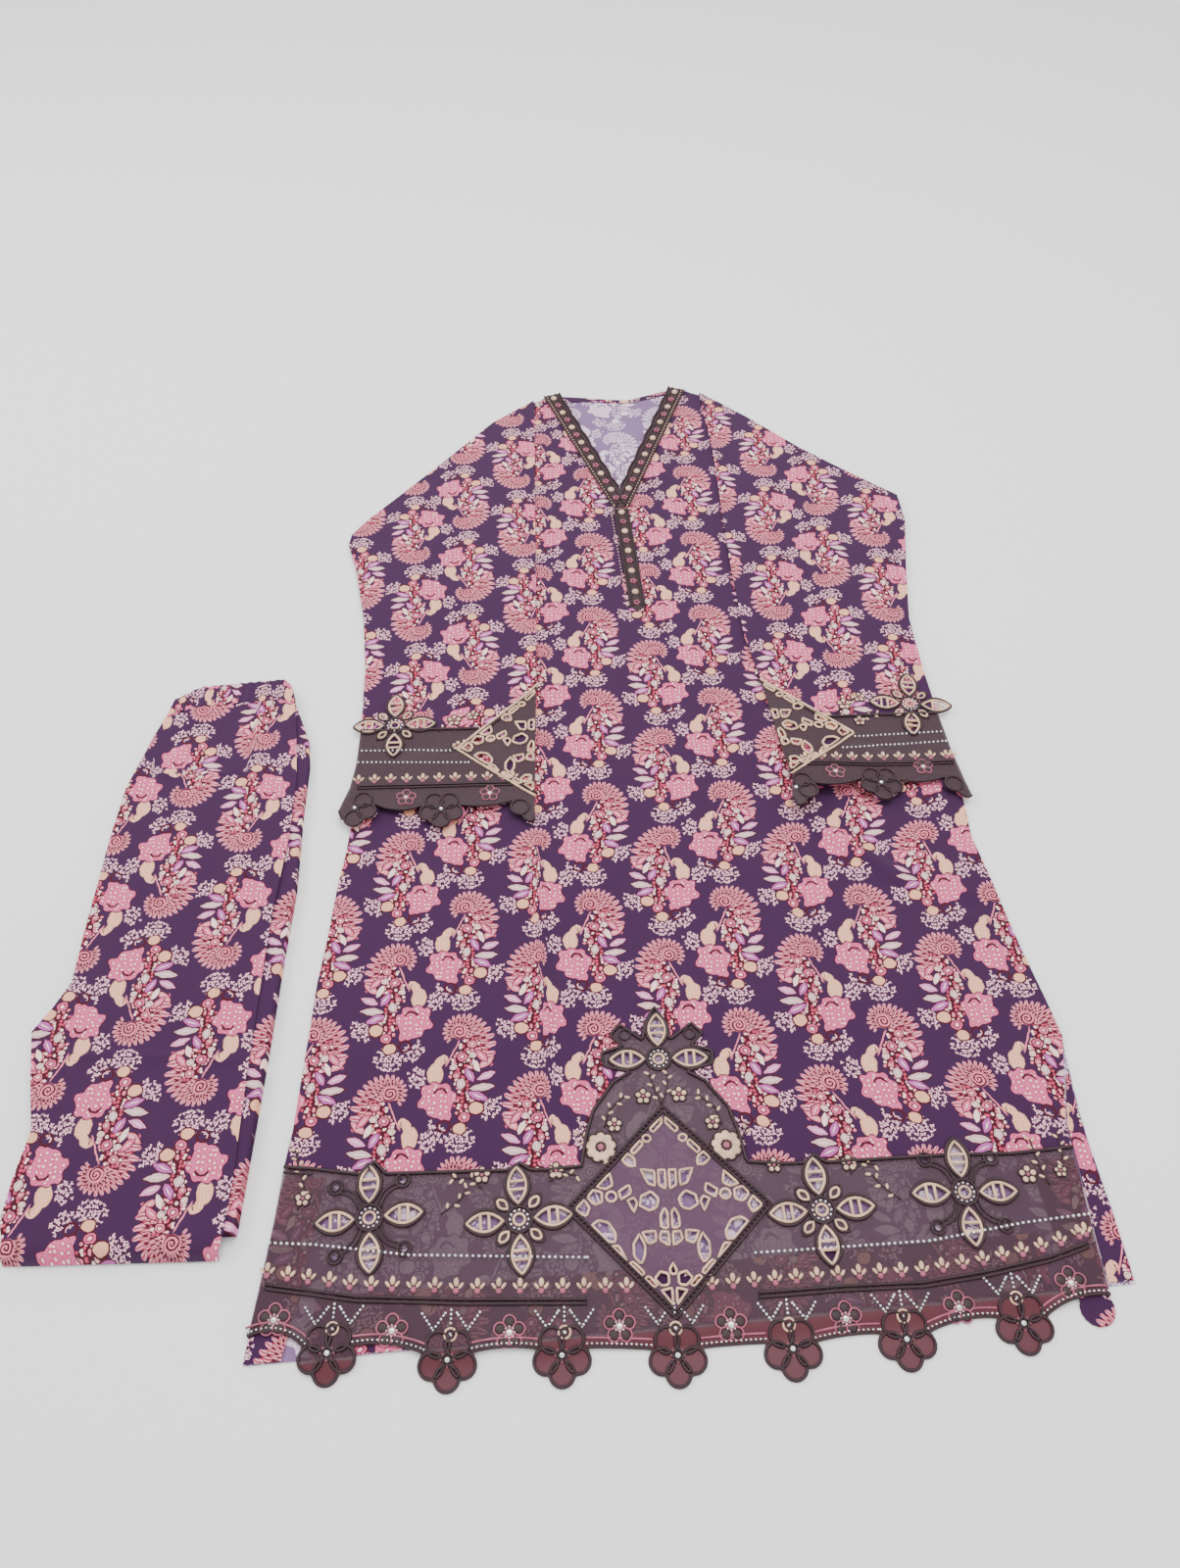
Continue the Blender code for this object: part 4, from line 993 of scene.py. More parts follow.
def resampled(line, step, closed=False):
    # points along a line at even steps
    points = [Vector(p) for p in line]
    if closed:
        points.append(points[0])
    result = [tuple(points[0])]
    left = step
    for a, b in zip(points, points[1:]):
        length = (b - a).length
        at = left
        while at <= length:
            result.append(tuple(a.lerp(b, at / length)))
            at += step
        left = at - length
    if closed and (Vector(result[-1]) - points[0]).length < step * 0.5:
        result.pop()
    elif not closed and (Vector(result[-1]) - points[-1]).length > step * 0.25:
        result.append(tuple(points[-1]))
    return result


def cordAlong(heap, line, radius, top, closed=False, step=3.0, sides=6):
    path = resampled(line, step, closed)
    heap.tube(onCloth(path, top, radius * 0.5), radius, sides, closed)


def beadsAlong(heap, line, pitch, radius, top, height=None):
    for x, y in resampled(line, pitch):
        heap.dome(place(x, y, top(x, y) + 0.2), radius, height or radius * 1.2, 6)


def circle(x, y, radius, count=14):
    return [turned(radius, 0.0, math.tau * i / count, (x, y)) for i in range(count)]


def vesica(spot, angle, start, length, width, count=8):
    points = []
    for i in range(2 * count):
        t = -1.0 + 2.0 * i / count if i <= count else 3.0 - 2.0 * i / count
        side = 1.0 if i <= count else -1.0
        points.append(turned(start + length / 2 * (1 + t), side * width / 2 * (1 - t * t), angle, spot))
    return points


# Cloth of the kurta

def printedAsLaid(x, y):
    # the pinched crease swallows some of the cloth
    taken = 9.0 * smooth((430.0 - y) / 60.0) * smooth((y - 120.0) / 60.0)
    line = -97.0 + 11.0 * (430.0 - y) / 260.0
    return (x + taken * smooth((x - line + 5.0) / 10.0), y)


def printedUpsideDown(spot, head, tilt):
    # cloth turned round: the curl of its print at head lies at spot
    angle = math.radians(tilt)

    def printed(x, y):
        dx, dy = x - spot[0], y - spot[1]
        u = dx * math.cos(angle) + dy * math.sin(angle)
        v = -dx * math.sin(angle) + dy * math.cos(angle)
        return (head[0] - u, head[1] - v)
    return printed


kurtaBack = {
    "outline": [hemLeft, hemRight, *reversed(bodyLine(2, 30)), *reversed(movedOut(foldRight, -2.5)),
                *neckBack, *movedOut(foldLeft, 2.5), *bodyLine(1, 30)],
}
backPiece, flat, area = clothSheet("kurtaBack", kurtaBack["outline"], backTop, insideLook,
                                   lambda x, y: (-x + 21.0, y - 2.0), pitch=12.0)
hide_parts("kurta_back")

ends = (-250.0, 268.0)
hemTurn = [(ends[0], hemY(ends[0]) + 0.6), (ends[1], hemY(ends[1]) + 0.6),
           (ends[1], hemY(ends[1]) + 40.0), (ends[0], hemY(ends[0]) + 40.0)]
piece, flat, area = clothSheet("backHemTurn", hemTurn, overBackTop, printLook,
                               lambda x, y: (x, 2.0 * hemY(x) - y), pitch=10.0)
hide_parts("back_hem_turn")

neckBand = [(-66, 1066), (-40, 1069), (-12, 1067), (16, 1064), (70, 1082), (72, 1091),
            (16, 1069.5), (-12, 1072.5), (-40, 1076.5), (-73, 1080)]
piece, flat, area = clothSheet("backNeckBand", neckBand, overBackTop, printLook,
                               lambda x, y: (x + 30.0, 20.0 - y), pitch=6.0)
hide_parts("back_neck_band")

backFacing = [(308.5, 15), (326.5, 16), (325.5, 67), (322.7, 106), (321.7, 144), (323.3, 172),
              (320.3, 170), (310.5, 129), (310.5, 89), (308.5, 46)]
piece, flat, area = clothSheet("backSlitFacing", backFacing, overBackTop, printLook,
                               lambda x, y: (-x, y), pitch=6.0)
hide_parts("back_slit_facing")

kurtaFront = {
    "outline": [*seamLine(), *reversed(slitRight), *reversed(bodyLine(2, 210)),
                *reversed(movedOut(foldRight, -2.0)), *reversed(neckV), *movedOut(foldLeft, 2.0),
                *bodyLine(1, 120)],
}
frontPiece, flat, area = clothSheet("kurtaFront", kurtaFront["outline"], frontTop, printLook,
                                    printedAsLaid, pitch=5.0)
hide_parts("kurta_front")
print("front made")

facingLeft = [(-294.5, -22.4), (-269, -21.0), (-262, 20), (-252, 104), (-283, 104), (-286, 67),
              (-289, 34), (-293, 1)]
piece, flat, area = clothSheet("slitFacingLeft", facingLeft, overBackTop, printLook,
                               lambda x, y: (-x - 300.0, y), pitch=5.0)
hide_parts("slit_facing_left")
tab = arc((285, 4), (296, -14), (307, 4), 10)
facingRight = [(280, 40), (285, 4), *tab, (307, 4), (307, 46), (308.5, 89), (308.5, 104), (274, 104)]
piece, flat, area = clothSheet("slitFacingRight", facingRight, overBackTop, printLook,
                               lambda x, y: (-x + 40.0, y), pitch=5.0)
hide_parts("slit_facing_right")

hemArcs = []
hemLine = scallopedEdge(hemFlowers, hemScallops, (-293.5, -6.0), (306.5, 6.0), hemArcs)
leftBow = arc(hemLine[0], (-277, -3), hemLine[1], 6)
rightBow = arc(hemLine[-2], (278, 3), hemLine[-1], 6)
hemArcs += [[hemLine[0], *leftBow, hemLine[1]], [hemLine[-2], *rightBow, hemLine[-1]]]
borderLower = [hemLine[0], *leftBow, *hemLine[1:-1], *rightBow, hemLine[-1]]
borderOutline = [*borderLower, (306.8, 46), (308.7, 89), *movedOut(list(reversed(seamLine())), 0.3),
                 (-286.5, 67), (-289.5, 34)]
diamondLoop = [(diamond[0], diamond[1] + 75.5), (diamond[0] - 74.0, diamond[1]),
               (diamond[0], diamond[1] - 75.5), (diamond[0] + 74.0, diamond[1])]
diamondHole = [(diamond[0], diamond[1] + 75.8), (diamond[0] - 74.3, diamond[1]),
               (diamond[0], diamond[1] - 75.8), (diamond[0] + 74.3, diamond[1])]
borderHoles = [diamondHole]
for x, y, first, arms in cutFlowers:
    borderHoles += flowerWindows(x, y, first, arms)
borderHoles += flowerWindows(*peakFlower, 90.0, False, petals=(0, 1, 3))
borderPiece, flat, area = clothSheet("frontBorder", borderOutline, borderTop, organza, None,
                                     borderHoles, pitch=5.0)
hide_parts("front_border")

tear = [(diamond[0] + x, diamond[1] + y) for x, y in diamondTear]
frontWindows = [tear, *diamondShapes(diamond, diamondLoop[1], diamondLoop[0]),
                *diamondShapes(diamond, diamondLoop[3], diamondLoop[0])]
diamondPiece, flat, area = clothSheet("frontDiamond", diamondLoop, borderTop, diamondOrganza, None,
                                      frontWindows, pitch=5.0)
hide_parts("front_diamond")
print("border made")

sleevePrints = {
    "left": printedUpsideDown((-217.7, 670.3), printOrigin, 4.0),
    "right": printedUpsideDown((276.0, 684.4), printOrigin, -3.0),
}
sleeveData = {}
for side, parts in (("left", sleeveLeft), ("right", sleeveRight)):
    right = side == "right"
    flip = -1.0 if right else 1.0
    tip, corner, foot = parts["halfDiamond"]
    outerSeam = parts["outer"][-1]
    innerShare = (parts["seamY"] - corner[1]) / (tip[1] - corner[1])
    seamEnd = (corner[0] + innerShare * (tip[0] - corner[0]) - flip * 0.9, parts["seamY"])
    inner = parts["inner"][:-1]
    upper = sleeveTop(right, 3.9, 1.3)
    lower = sleeveTop(right, 2.6, 1.0)
    outline = [*parts["fold"], *parts["outer"], seamEnd, (tip[0], tip[1] + 0.9), *inner]
    printPiece, flat, area = clothSheet(f"sleevePrint{side.capitalize()}", outline, upper, printLook,
                                        sleevePrints[side], pitch=5.0)
    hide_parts(f"sleeve_{side}_print")

    start, end = (parts["hemEnd"], parts["cuff"][-1]) if right else (parts["cuff"][-1], parts["hemEnd"])
    arcs = []
    edge = scallopedEdge(parts["flowers"], parts["scallops"], start, end, arcs)
    if right:
        edge.reverse()
    outerEnd = (outerSeam[0], outerSeam[1] - 0.3)
    innerEnd = (seamEnd[0], seamEnd[1] - 0.3)
    border = [outerEnd, *parts["cuff"][:-1], *edge, (foot[0], foot[1] - 0.9),
              (corner[0] - flip * 0.9, corner[1]), innerEnd]
    x, y, first = parts["cutFlower"]
    windows = flowerWindows(x, y, first, False)
    inside = [w for w in windows if max(p[1] for p in w) < min(outerSeam[1], seamEnd[1]) - 1.0]
    inside = [w for w in inside if all(abs(p[0]) < abs(outerEnd[0]) - 2.0 for p in w)]
    cuffPiece, cuffFlat, cuffArea = clothSheet(f"sleeveBorder{side.capitalize()}", border, upper,
                                               cuffOrganza, None, inside, pitch=5.0)
    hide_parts(f"sleeve_{side}_border")

    spot = ((tip[0] + foot[0]) / 2.0, (tip[1] + foot[1]) / 2.0)
    holes = diamondShapes(spot, corner, tip)
    halfPiece, flat, area = clothSheet(f"sleeveDiamond{side.capitalize()}", [tip, corner, foot], upper,
                                       cuffOrganza, None, holes, pitch=5.0)
    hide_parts(f"sleeve_{side}_diamond")

    under = [*movedOut(parts["fold"], flip * 1.5),
             *[(px + flip * 1.5, py) for px, py in (*parts["outer"], *parts["cuff"][:-1])],
             *[(px + flip, py + 1.5) for px, py in edge],
             (foot[0] - flip, foot[1]), *[(px - flip, py) for px, py in inner]]
    underPiece, flat, area = clothSheet(f"sleeveUnder{side.capitalize()}", under, lower, printLook,
                                        sleevePrints[side], pitch=8.0)
    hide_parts(f"sleeve_{side}_under")
    sleeveData[side] = {
        "top": upper, "flip": flip, "border": border, "edge": edge, "arcs": arcs, "windows": inside,
        "holes": holes, "seam": [outerSeam, seamEnd], "parts": parts, "cuff": cuffPiece,
        "cuffFlat": cuffFlat, "cuffArea": cuffArea, "half": halfPiece, "inner": inner,
    }
print("sleeves made")

# Trousers

stackNode = bpy.data.objects.get("trousers_folded_legs")

trouserPrint = printedUpsideDown((-419.4, 341.6), mirrorOrigin, 0.0)
legLine = [*reversed(legOutlineLeft[:-1]), (-475, 46), (-322, 46), *reversed(topLayerRight),
           *[(x, y - 0.3) for x, y in reversed(bandLower)]]


def legPrinted(x, y):
    # the tuck swallows some cloth above it
    taken = 14.0 * smooth((y - 478.0) / 12.0) if -455 < x < -366 else 0.0
    return trouserPrint(x, y + taken)


legPiece, flat, area = clothSheet("trousersLeg", legLine, legTop, printLook, legPrinted, pitch=4.0)
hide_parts("trousers_leg")
bandPiece, flat, area = clothSheet("trousersWaistband", [*bandLower, *bandUpper], bandTop, printLook,
                                   lambda x, y: trouserPrint(x * 1.5 + 190.0, y + 30.0), pitch=2.0)
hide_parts("trousers_waistband")
print("trousers made")

# Embroidery of the front border

hemCream = Heap()
hemWine = Heap()
hemSilver = Heap()
hemRose = Heap()


def fullTop(x, y):
    return max(borderTop(x, y), frontTop(x, y) if y > 104 else 0.0)


def cutFlower(x, y, first, kind, top, cream, wine, beads, petals=(0, 1, 2, 3)):
    for i in petals:
        angle = math.radians(first + 90.0 * i)
        cordAlong(wine, vesica((x, y), angle, petalStart - 2.0, petalLength + 4.0, petalWidth + 4.4), 1.2,
                  top, True)
        cordAlong(cream, vesica((x, y), angle, petalStart, petalLength, petalWidth - 0.6), 1.15, top, True, 2.4)
        half = petalLength / 2.0
        for t in (0.23, -0.23):
            wide = petalWidth / 2.0 * (1.0 - t * t) - 1.0
            a = turned(petalStart + half * (1 + t), wide, angle, (x, y))
            b = turned(petalStart + half * (1 + t), -wide, angle, (x, y))
            cordAlong(cream, [a, b], 1.2, top)
    cordAlong(wine, circle(x, y, 9.6), 1.1, top, True, 2.4)
    cordAlong(cream, circle(x, y, 4.2), 1.0, top, True, 1.8)
    for bx, by in circle(x, y, 6.9, 12):
        beads.dome(place(bx, by, top(bx, by) + 0.2), 1.2, 1.3, 6)
    if kind == "arms":
        for i in range(4):
            angle = math.radians(first + 45.0 + 90.0 * i)
            hand = 1.0 if i % 2 else -1.0
            end = turned(35.0, 0.0, angle, (x, y))
            stem = [turned(9.6 + 22.0 * t, 4.0 * hand * math.sin(math.pi * t), angle, (x, y))
                    for t in (0, 0.25, 0.5, 0.75, 1)]
            for offset in (-1.6, 1.6):
                cordAlong(wine, movedOut(stem, offset), 0.9, top)
            cordAlong(wine, circle(*end, 5.2), 1.0, top, True, 2.2)
            cordAlong(wine, circle(*end, 3.0, 10), 0.7, top, True, 2.0)
    if kind == "drops":
        for i in range(4):
            angle = math.radians(first + 45.0 + 90.0 * i)
            cordAlong(cream, vesica((x, y), angle, 11.5, 10.0, 6.0, 6), 1.1, top, True, 2.2)
            cordAlong(wine, vesica((x, y), angle, 10.0, 14.0, 9.0, 6), 0.9, top, True, 2.4)


def rosette(x, y, size, top, petalHeap, coreHeap, count=5, first=90.0, edgeHeap=None):
    for i in range(count):
        spot = turned(size * 0.62, 0.0, math.radians(first + 360.0 * i / count), (x, y))
        petalHeap.dome(place(*spot, top(*spot) + 0.2), size * 0.36, 1.1, 8)
        if edgeHeap:
            cordAlong(edgeHeap, circle(*spot, size * 0.40, 10), 0.7, top, True, 2.0, 5)
    coreHeap.dome(place(x, y, top(x, y) + 0.4), size * 0.24, 1.5, 8)


def bud(x, y, top, cream, rose):
    cream.dome(place(x, y + 2.5, top(x, y) + 0.2), 1.9, 1.2, 8, 1.7, math.pi / 2)
    for hand in (-1.0, 1.0):
        spot = (x + hand * 3.4, y)
        cream.dome(place(*spot, top(*spot) + 0.2), 1.3, 1.0, 6, 2.2, math.radians(90.0 - hand * 38.0))
    rose.dome(place(x, y - 3.4, top(x, y) + 0.2), 2.2, 1.0, 8)


def sprig(points, top, stemHeap, leafHeap, size=5.0, flowerEnd=None):
    cordAlong(stemHeap, points, 0.7, top, False, 3.0, 5)
    line = resampled(points, size * 1.1)
    for i, (x, y) in enumerate(line[1:], 1):
        ahead = Vector(line[i]) - Vector(line[i - 1])
        angle = math.atan2(ahead.y, ahead.x) + (0.9 if i % 2 else -0.9)
        spot = turned(size * 0.55, 0.0, angle, (x, y))
        leafHeap.dome(place(*spot, top(*spot) + 0.2), size * 0.24, 1.0, 6, 2.1, angle)


for x, y, first, arms in cutFlowers:
    cutFlower(x, y, first, "arms" if arms else "drops", borderTop, hemCream, hemWine, hemSilver)
cutFlower(*peakFlower, 90.0, "plain", borderTop, hemCream, hemWine, hemSilver, (0, 1, 3))
for hand in (-1.0, 1.0):
    spot = (1 + hand * 26.0, 212)
    cordAlong(hemWine, circle(*spot, 4.6), 0.9, borderTop, True, 2.2)
cordAlong(hemWine, seamLine(), 1.4, fullTop)
cordAlong(hemWine, [(x, y - 4.0) for x, y in ((-284, 112), (-262, 110))], 0.9, borderTop)

# diamond
for loop in frontWindows:
    cordAlong(hemCream, loop, 1.0, borderTop, True, 2.4)
frameLoop = [Vector(p) for p in diamondLoop]
middle = Vector(diamond)
# Two dark cords and the beads between them, as shares of the diamond's size
framePair = (0.955, 1.02)
frameBeads = 0.99
for share in framePair:
    cordAlong(hemWine, [tuple(middle + (p - middle) * share) for p in frameLoop], 1.1, borderTop, True, 3.0)
for x, y in resampled([tuple(middle + (p - middle) * frameBeads) for p in frameLoop], 3.6, True):
    hemWine.dome(place(x, y, borderTop(x, y) + 0.6), 1.4, 1.4, 6)

# straight bead rows, buds and braid
beadLine = [(-287, 57), (-255, 55), (-186, 46), (-59, 41)]
beadLineRight = [(61, 41), (188, 46), (258, 57), (307, 62)]
for line in (beadLine, beadLineRight):
    beadsAlong(hemSilver, line, 4.2, 1.5, borderTop)
budRow = [(-286, 38), (-282, 37), (-222, 28), (-145, 24), (-60, 22), (0, 21), (60, 23), (120, 26), (177, 27),
          (223, 33), (271, 42), (301, 51)]
for x, y in resampled(budRow, 15.0):
    if abs(x - diamond[0]) < 24:
        continue
    bud(x, y, borderTop, hemCream, hemRose)
for drop in (9.0, 12.0):
    braid = [(x, y - drop) for x, y in budRow]
    for part in ([p for p in braid if p[0] < -40], [p for p in braid if p[0] > 40]):
        cordAlong(hemWine, part, 1.1, borderTop)

# lower band: upper flowers, sticks, rings
upperFlowers = ((-277, 5), (-195, -4), (-114, -7), (-38, -5), (39, -6), (119, -4), (199, 1), (281, 15))
for x, y in upperFlowers:
    rosette(x, y, 11.0, borderTop, hemWine, hemSilver, 5, 90.0, hemRose)
    for bx, by in circle(x, y, 3.6, 8):
        hemSilver.dome(place(bx, by, borderTop(bx, by) + 0.4), 0.8, 0.9, 6)
for (x0, y0), (x1, y1) in zip(upperFlowers, upperFlowers[1:]):
    mx, my = (x0 + x1) / 2.0, (y0 + y1) / 2.0 + 4.0
    for dx, dy, ex, ey in ((-20, 8, -12, -3), (-12, -3, -4, 8), (20, 8, 12, -3), (12, -3, 4, 8), (0, 10, 0, 1)):
        a, b = (mx + dx, my + dy), (mx + ex, my + ey)
        for wx, wy in resampled([a, b], 2.9):
            hemSilver.dome(place(wx, wy, borderTop(wx, wy) + 0.2), 1.2, 1.2, 6)
    cordAlong(hemCream, circle(mx, my - 6.0, 4.2), 0.8, borderTop, True, 2.0)
    hemSilver.dome(place(mx, my - 6.0, borderTop(mx, my - 6.0) + 0.3), 1.6, 1.3, 8)

# hanging flowers and the scalloped edge
for x, y in hemFlowers:
    for i in range(5):
        spot = turned(11.5, 0.0, math.radians(-90.0 + 72.0 * i), (x, y))
        cordAlong(hemWine, circle(*spot, 8.3, 18), 1.1, borderTop, True, 2.4)
    hemSilver.dome(place(x, y, borderTop(x, y) + 0.5), 2.4, 1.8, 8)
    for bx, by in circle(x, y, 4.4, 8):
        hemRose.dome(place(bx, by, borderTop(bx, by) + 0.4), 1.0, 1.0, 6)
cordAlong(hemWine, movedOut(borderLower, 1.0), 1.0, borderTop)
for line in hemArcs:
    beadsAlong(hemSilver, movedOut(line, 3.0), 3.4, 1.1, borderTop)
    cordAlong(hemRose, movedOut(line, 6.5), 0.8, borderTop)

# sprigs and blossoms over the seam
sprigLines = (
    [(-136, 92), (-144, 100), (-157, 100)], [(-165, 74), (-152, 84), (-147, 92)],
    [(-86, 96), (-76, 102), (-66, 100)], [(-270, 80), (-267, 95), (-277, 124)],
    [(138, 96), (148, 104), (158, 102)], [(172, 76), (160, 86), (154, 95)],
    [(284, 84), (280, 100), (278, 118)], [(296, 92), (300, 106), (300, 122)],
    [(-36, 108), (-54, 118), (-62, 132)], [(40, 108), (56, 118), (64, 132)],
    [(-44, 136), (-40, 150), (-28, 160)], [(46, 136), (42, 150), (30, 160)],
    [(1, 153), (-4, 166), (-7, 178)], [(1, 153), (6, 166), (7, 178)],
)
for points in sprigLines:
    sprig(points, fullTop, hemWine, hemCream)
# Rosettes: place, size, petals
blossoms = (
    (-47, 121, 12, 9), (48, 120, 12, 9), (-36, 138, 6, 5), (39, 138, 6, 5), (-13, 160, 6.5, 5),
    (15, 161, 6.5, 5), (-81, 104, 6.5, 5), (-136, 102, 6.5, 5), (138, 104, 6.5, 5), (270, 92, 7, 5),
    (-267, 88, 6, 5), (82, 104, 6, 5), (295, 94, 5, 5),
)
for x, y, size, count in blossoms:
    rosette(x, y, size, fullTop, hemCream, hemRose, count, 90.0, hemWine)

hemPieces = [hemCream.make("hemCreamCords", creamThread), hemWine.make("hemWineCords", wineThread, "trim"),
             hemRose.make("hemRoseKnots", roseThread), hemSilver.make("hemSilverBeads", silver)]
print("hem embroidery made")

# Embroidery of the sleeves

for side, data in sleeveData.items():
    cream, wine, rose, beads = Heap(), Heap(), Heap(), Heap()
    top, flip, parts = data["top"], data["flip"], data["parts"]
    x, y, first = parts["cutFlower"]
    cutFlower(x, y, first, "drops", top, cream, wine, beads)
    for loop in data["holes"]:
        cordAlong(cream, loop, 1.2, top, True, 2.4)
    tip, corner, foot = parts["halfDiamond"]
    for inset, radius in ((1.0, 1.3), (4.6, 1.0)):
        line = movedOut([tip, corner, foot], inset if flip > 0 else -inset)
        cordAlong(cream if inset < 2 else wine, line, radius, top)
    if side == "left":
        rows = {"beadsA": [(-262, 510), (-178, 508)], "beadsB": [(-264, 496), (-160, 493)],
                "buds": [(-262, 475), (-118, 476)], "upper": ((-216, 452), (-139, 455)),
                "sprigs": ([(-190, 532), (-178, 546), (-164, 552)], [(-180, 508), (-171, 514), (-160, 520)]),
                "blossoms": ((-176, 546, 7), (-158, 552, 6), (-171, 514, 6))}
    else:
        rows = {"beadsA": [(210, 516), (294, 520)], "beadsB": [(196, 502), (296, 508)],
                "buds": [(158, 490), (298, 492)], "upper": ((183, 469), (268, 477)),
                "sprigs": ([(196, 545), (206, 558), (220, 566)], [(214, 532), (224, 540), (236, 544)]),
                "blossoms": ((206, 558, 7), (222, 566, 6), (218, 536, 6))}
    for key in ("beadsA", "beadsB"):
        beadsAlong(beads, rows[key], 4.2, 1.3, top)
    for bx, by in resampled(rows["buds"], 15.0):
        bud(bx, by, top, cream, rose)
    for drop in (8.5, 11.5):
        cordAlong(wine, [(px, py - drop) for px, py in rows["buds"]], 1.0, top)
    for ux, uy in rows["upper"]:
        rosette(ux, uy, 9.0, top, wine, beads, 5, 90.0, rose)
    for ux, uy in parts["flowers"]:
        for i in range(5):
            spot = turned(11.5, 0.0, math.radians(-90.0 + 72.0 * i), (ux, uy))
            low, high = sorted((parts["cuff"][-1][0], parts["hemEnd"][0]))
            ring = [p for p in circle(*spot, 8.3, 18) if low + 1.5 < p[0] < high - 1.5]
            if len(ring) == 18:
                cordAlong(wine, ring, 1.0, top, True, 2.4)
        if abs(ux) < 300 and abs(ux + 100) > 5:
            beads.dome(place(ux, uy, top(ux, uy) + 0.5), 2.2, 1.6, 8)
    cordAlong(wine, movedOut(data["edge"], flip * 1.0), 1.0, top)
    cordAlong(wine, movedOut(data["seam"], 1.0), 1.4, top)
    for points in rows["sprigs"]:
        sprig(points, top, wine, cream)
    for bx, by, size in rows["blossoms"]:
        rosette(bx, by, size, top, cream, rose, 5, 90.0, wine)
    name = side.capitalize()
    cream.make(f"sleeveCreamCords{name}", creamThread)
    wine.make(f"sleeveWineCords{name}", wineThread, "trim")
    rose.make(f"sleeveRoseKnots{name}", roseThread)
    beads.make(f"sleeveSilverBeads{name}", silver)
print("sleeve embroidery made")

# Trim of the neck

trimLevel = 3.6


def trimTop(x, y):
    return trimLevel + laid(x, y)


def trimLine(start, end, inward, beads, middle):
    run = Vector(end) - Vector(start)
    length = run.length
    along = run / length
    side = Vector((-along.y, along.x)) * inward
    inner = []
    steps = beads * 2 * 8
    for i in range(steps + 1):
        share = i / steps
        bulge = 1.6 * abs(math.cos(math.pi * beads * share))
        point = Vector(start) + along * length * share + side * (8.5 + bulge)
        if (point.x - middle) * inward < -1.0:
            inner.append(tuple(point))
    outerTop = Vector(start) - side * 10.0
    outerFoot = Vector(end) - side * 9.0
    return inner, [*inner, (middle, inner[-1][1] - 3.0), (middle, outerFoot.y - 2.0),
                   tuple(outerFoot), tuple(outerTop)], (tuple(outerTop), tuple(outerFoot))


neckCream, neckWine, neckRose = Heap(), Heap(), Heap()


def trimKnot(turn, spot):
    if turn % 2 == 0:
        neckCream.dome(place(spot.x, spot.y, trimTop(spot.x, spot.y) + 0.3), 3.9, 2.0, 10)
        return
    for k in range(5):
        petal = turned(2.5, 0.0, math.tau * k / 5, spot)
        neckRose.dome(place(*petal, trimTop(*petal) + 0.3), 1.7, 1.5, 6)


trimRuns = (("left", (-78, 1081), (-1, 868), 1.0, -0.5), ("right", (79, 1091), (0, 868), -1.0, -0.1))
for side, start, end, inward, middle in trimRuns:
    inner, outline, outer = trimLine(start, end, inward, 7, middle)
    piece, flat, area = clothSheet(f"neckTrim{side.capitalize()}", outline, trimTop, wineThread, None,
                                   pitch=5.0)
    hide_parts(f"neck_trim_{side}")
    cordAlong(neckWine, inner, 1.1, trimTop)
    cordAlong(neckWine, outer, 1.0, trimTop)
    run = Vector(end) - Vector(start)
    across = Vector((-run.y, run.x)).normalized() * inward
    for offset in (-4.6, 4.8):
        line = [tuple(Vector(p) + across * offset) for p in (start, end)]
        cordAlong(neckWine, line, 0.9, trimTop)
    dots = [tuple(Vector(p) - across * 7.4) for p in (start, end)]
    beadsAlong(neckCream, dots, 5.0, 0.9, trimTop)
    for i in range(14):
        spot = Vector(start).lerp(Vector(end), (i + 0.5) / 14.3)
        trimKnot(i, spot)
(px0, py0), (px1, py1) = (-0.5, 861), (10.5, 698)
placket = [(px0 - 8.5, py0), (px1 - 8.5, py1 + 4), (px1, py1 - 2), (px1 + 8.5, py1 + 4), (px0 + 8.5, py0)]
placketPiece, flat, area = clothSheet("placketTrim", placket, trimTop, wineThread, None, pitch=5.0)
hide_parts("placket_trim")
for offset in (-7.6, -4.4, 4.4, 7.6):
    cordAlong(neckWine, [(px0 + offset, py0 - 1), (px1 + offset, py1 + 5)], 0.9, trimTop)
beadsAlong(neckCream, [(px0 - 11.0, py0 - 8), (px1 - 11.0, py1 + 6)], 5.0, 0.9, frontTop)
for i in range(10):
    spot = Vector((px0, py0)).lerp(Vector((px1, py1)), (i + 0.4) / 10.0)
    trimKnot(i, spot)
neckPieces = [neckCream.make("neckCreamBeads", creamThread), neckWine.make("neckWineCords", wineThread, "trim"),
              neckRose.make("neckRoseKnots", roseThread)]
print("neck made")

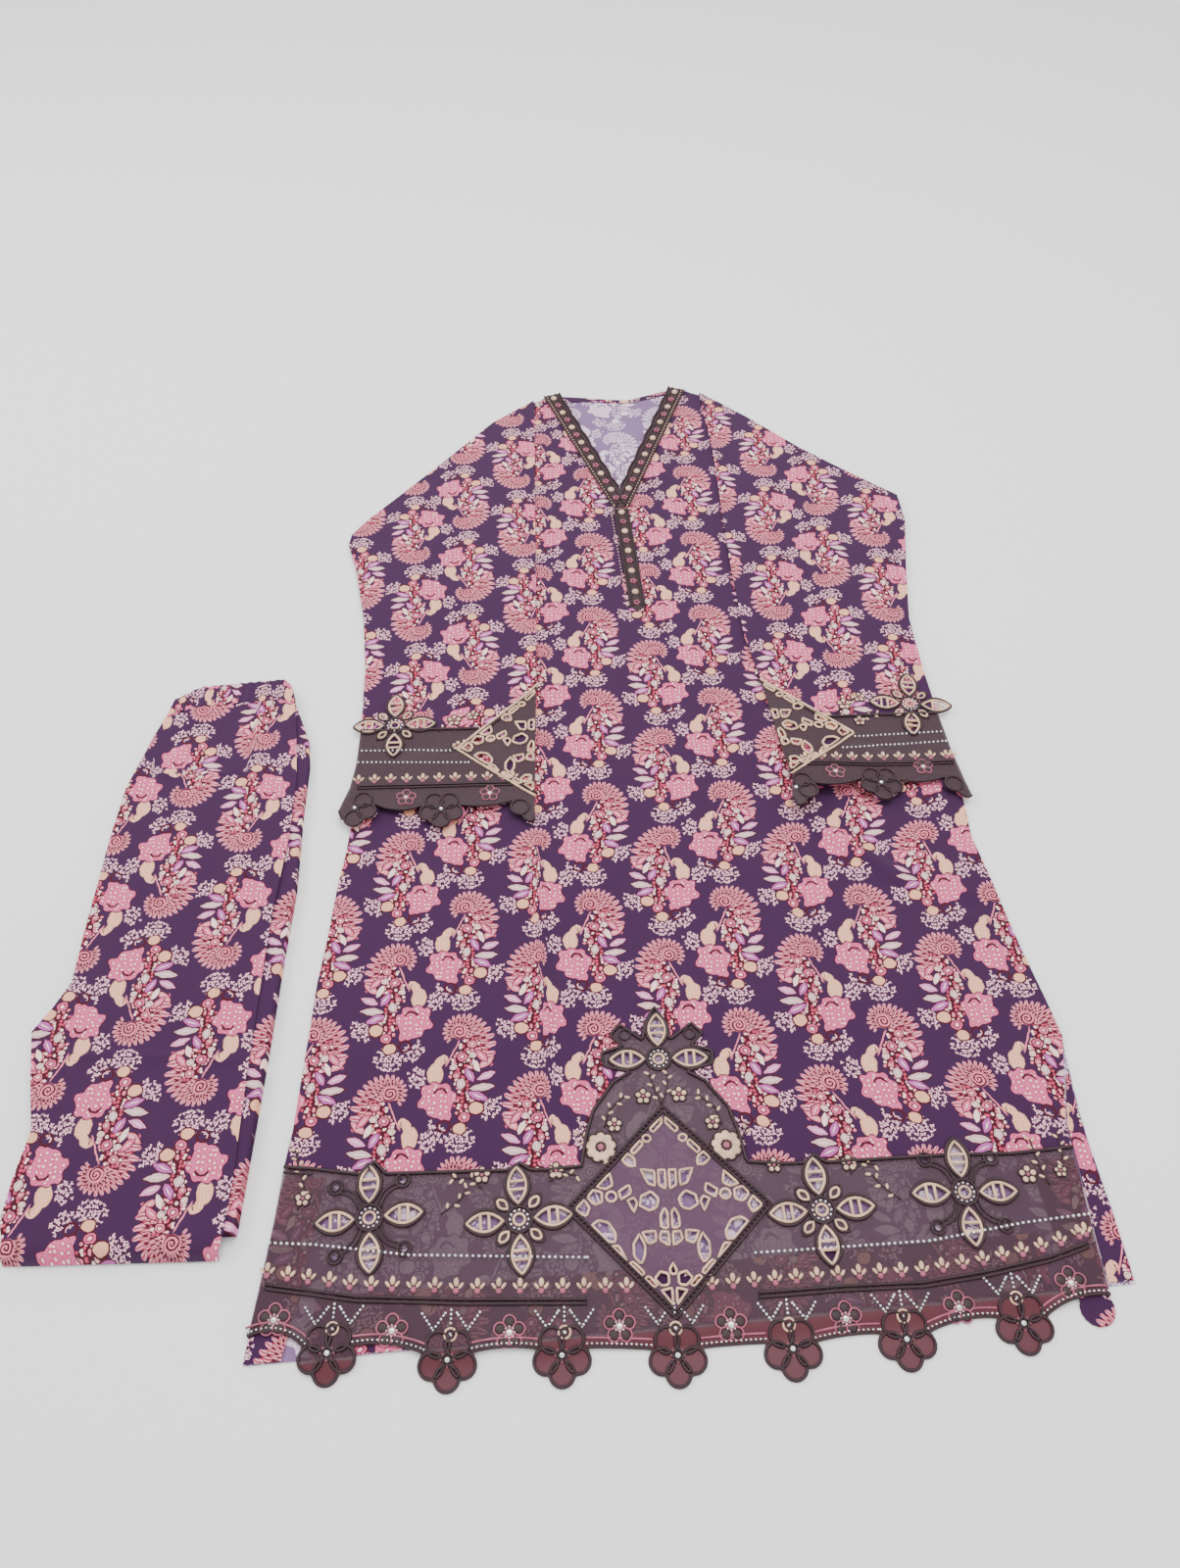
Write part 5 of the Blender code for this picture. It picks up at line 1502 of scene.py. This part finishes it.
# Folded legs under the top layer keep their solid, with the print on it
uvless = printedCloth("printedCottonStack", group)
tree = uvless.node_tree
stackCoord = tree.nodes.new("ShaderNodeTexCoord")
for node in tree.nodes:
    if node.bl_idname == "ShaderNodeUVMap":
        for link in list(node.outputs[0].links):
            tree.links.new(stackCoord.outputs["Object"], link.to_socket)
stackNode.data.materials.clear()
stackNode.data.materials.append(uvless)
for polygon in stackNode.data.polygons:
    polygon.material_index = 0

# Floor, light and camera

floorMesh = bpy.data.meshes.new("floor")
bm = bmesh.new()
bmesh.ops.create_grid(bm, x_segments=1, y_segments=1, size=6.0)
for vert in bm.verts:
    vert.co.z = -0.0002
bm.to_mesh(floorMesh)
bm.free()
floor = bpy.data.objects.new("floor", floorMesh)
bpy.context.scene.collection.objects.link(floor)
floorLook, p, shader = newMaterial("paleFloor")
shader.inputs["Base Color"].default_value = (0.95, 0.95, 0.95, 1.0)
shader.inputs["Roughness"].default_value = 0.9
floorMesh.materials.append(floorLook)

world = bpy.data.worlds.new("studio")
world.use_nodes = True
world.node_tree.nodes["Background"].inputs[0].default_value = (1.0, 1.0, 1.0, 1.0)
world.node_tree.nodes["Background"].inputs[1].default_value = 1.26
bpy.context.scene.world = world
for name, spot, size, power in (("softTop", (0.3, 0.4, 2.2), 1.6, 36.0),
                                ("softLeft", (-1.6, 0.8, 1.6), 1.0, 20.0)):
    lampData = bpy.data.lights.new(name, "AREA")
    lampData.shape = "DISK"
    lampData.size = size
    lampData.energy = power
    lamp = bpy.data.objects.new(name, lampData)
    lamp.location = spot
    lamp.rotation_mode = "QUATERNION"
    lamp.rotation_quaternion = (-Vector(spot)).to_track_quat("-Z", "Y")
    bpy.context.scene.collection.objects.link(lamp)

cameraData = bpy.data.cameras.new("photoCamera")
cameraData.lens = 27.0
cameraData.sensor_width = 36.0
camera = bpy.data.objects.new("photoCamera", cameraData)
camera.location = (0.0209, -0.7266, 0.875)
camera.rotation_euler = (math.radians(37.5), 0.0, math.radians(-1.5))
bpy.context.scene.collection.objects.link(camera)
bpy.context.scene.camera = camera
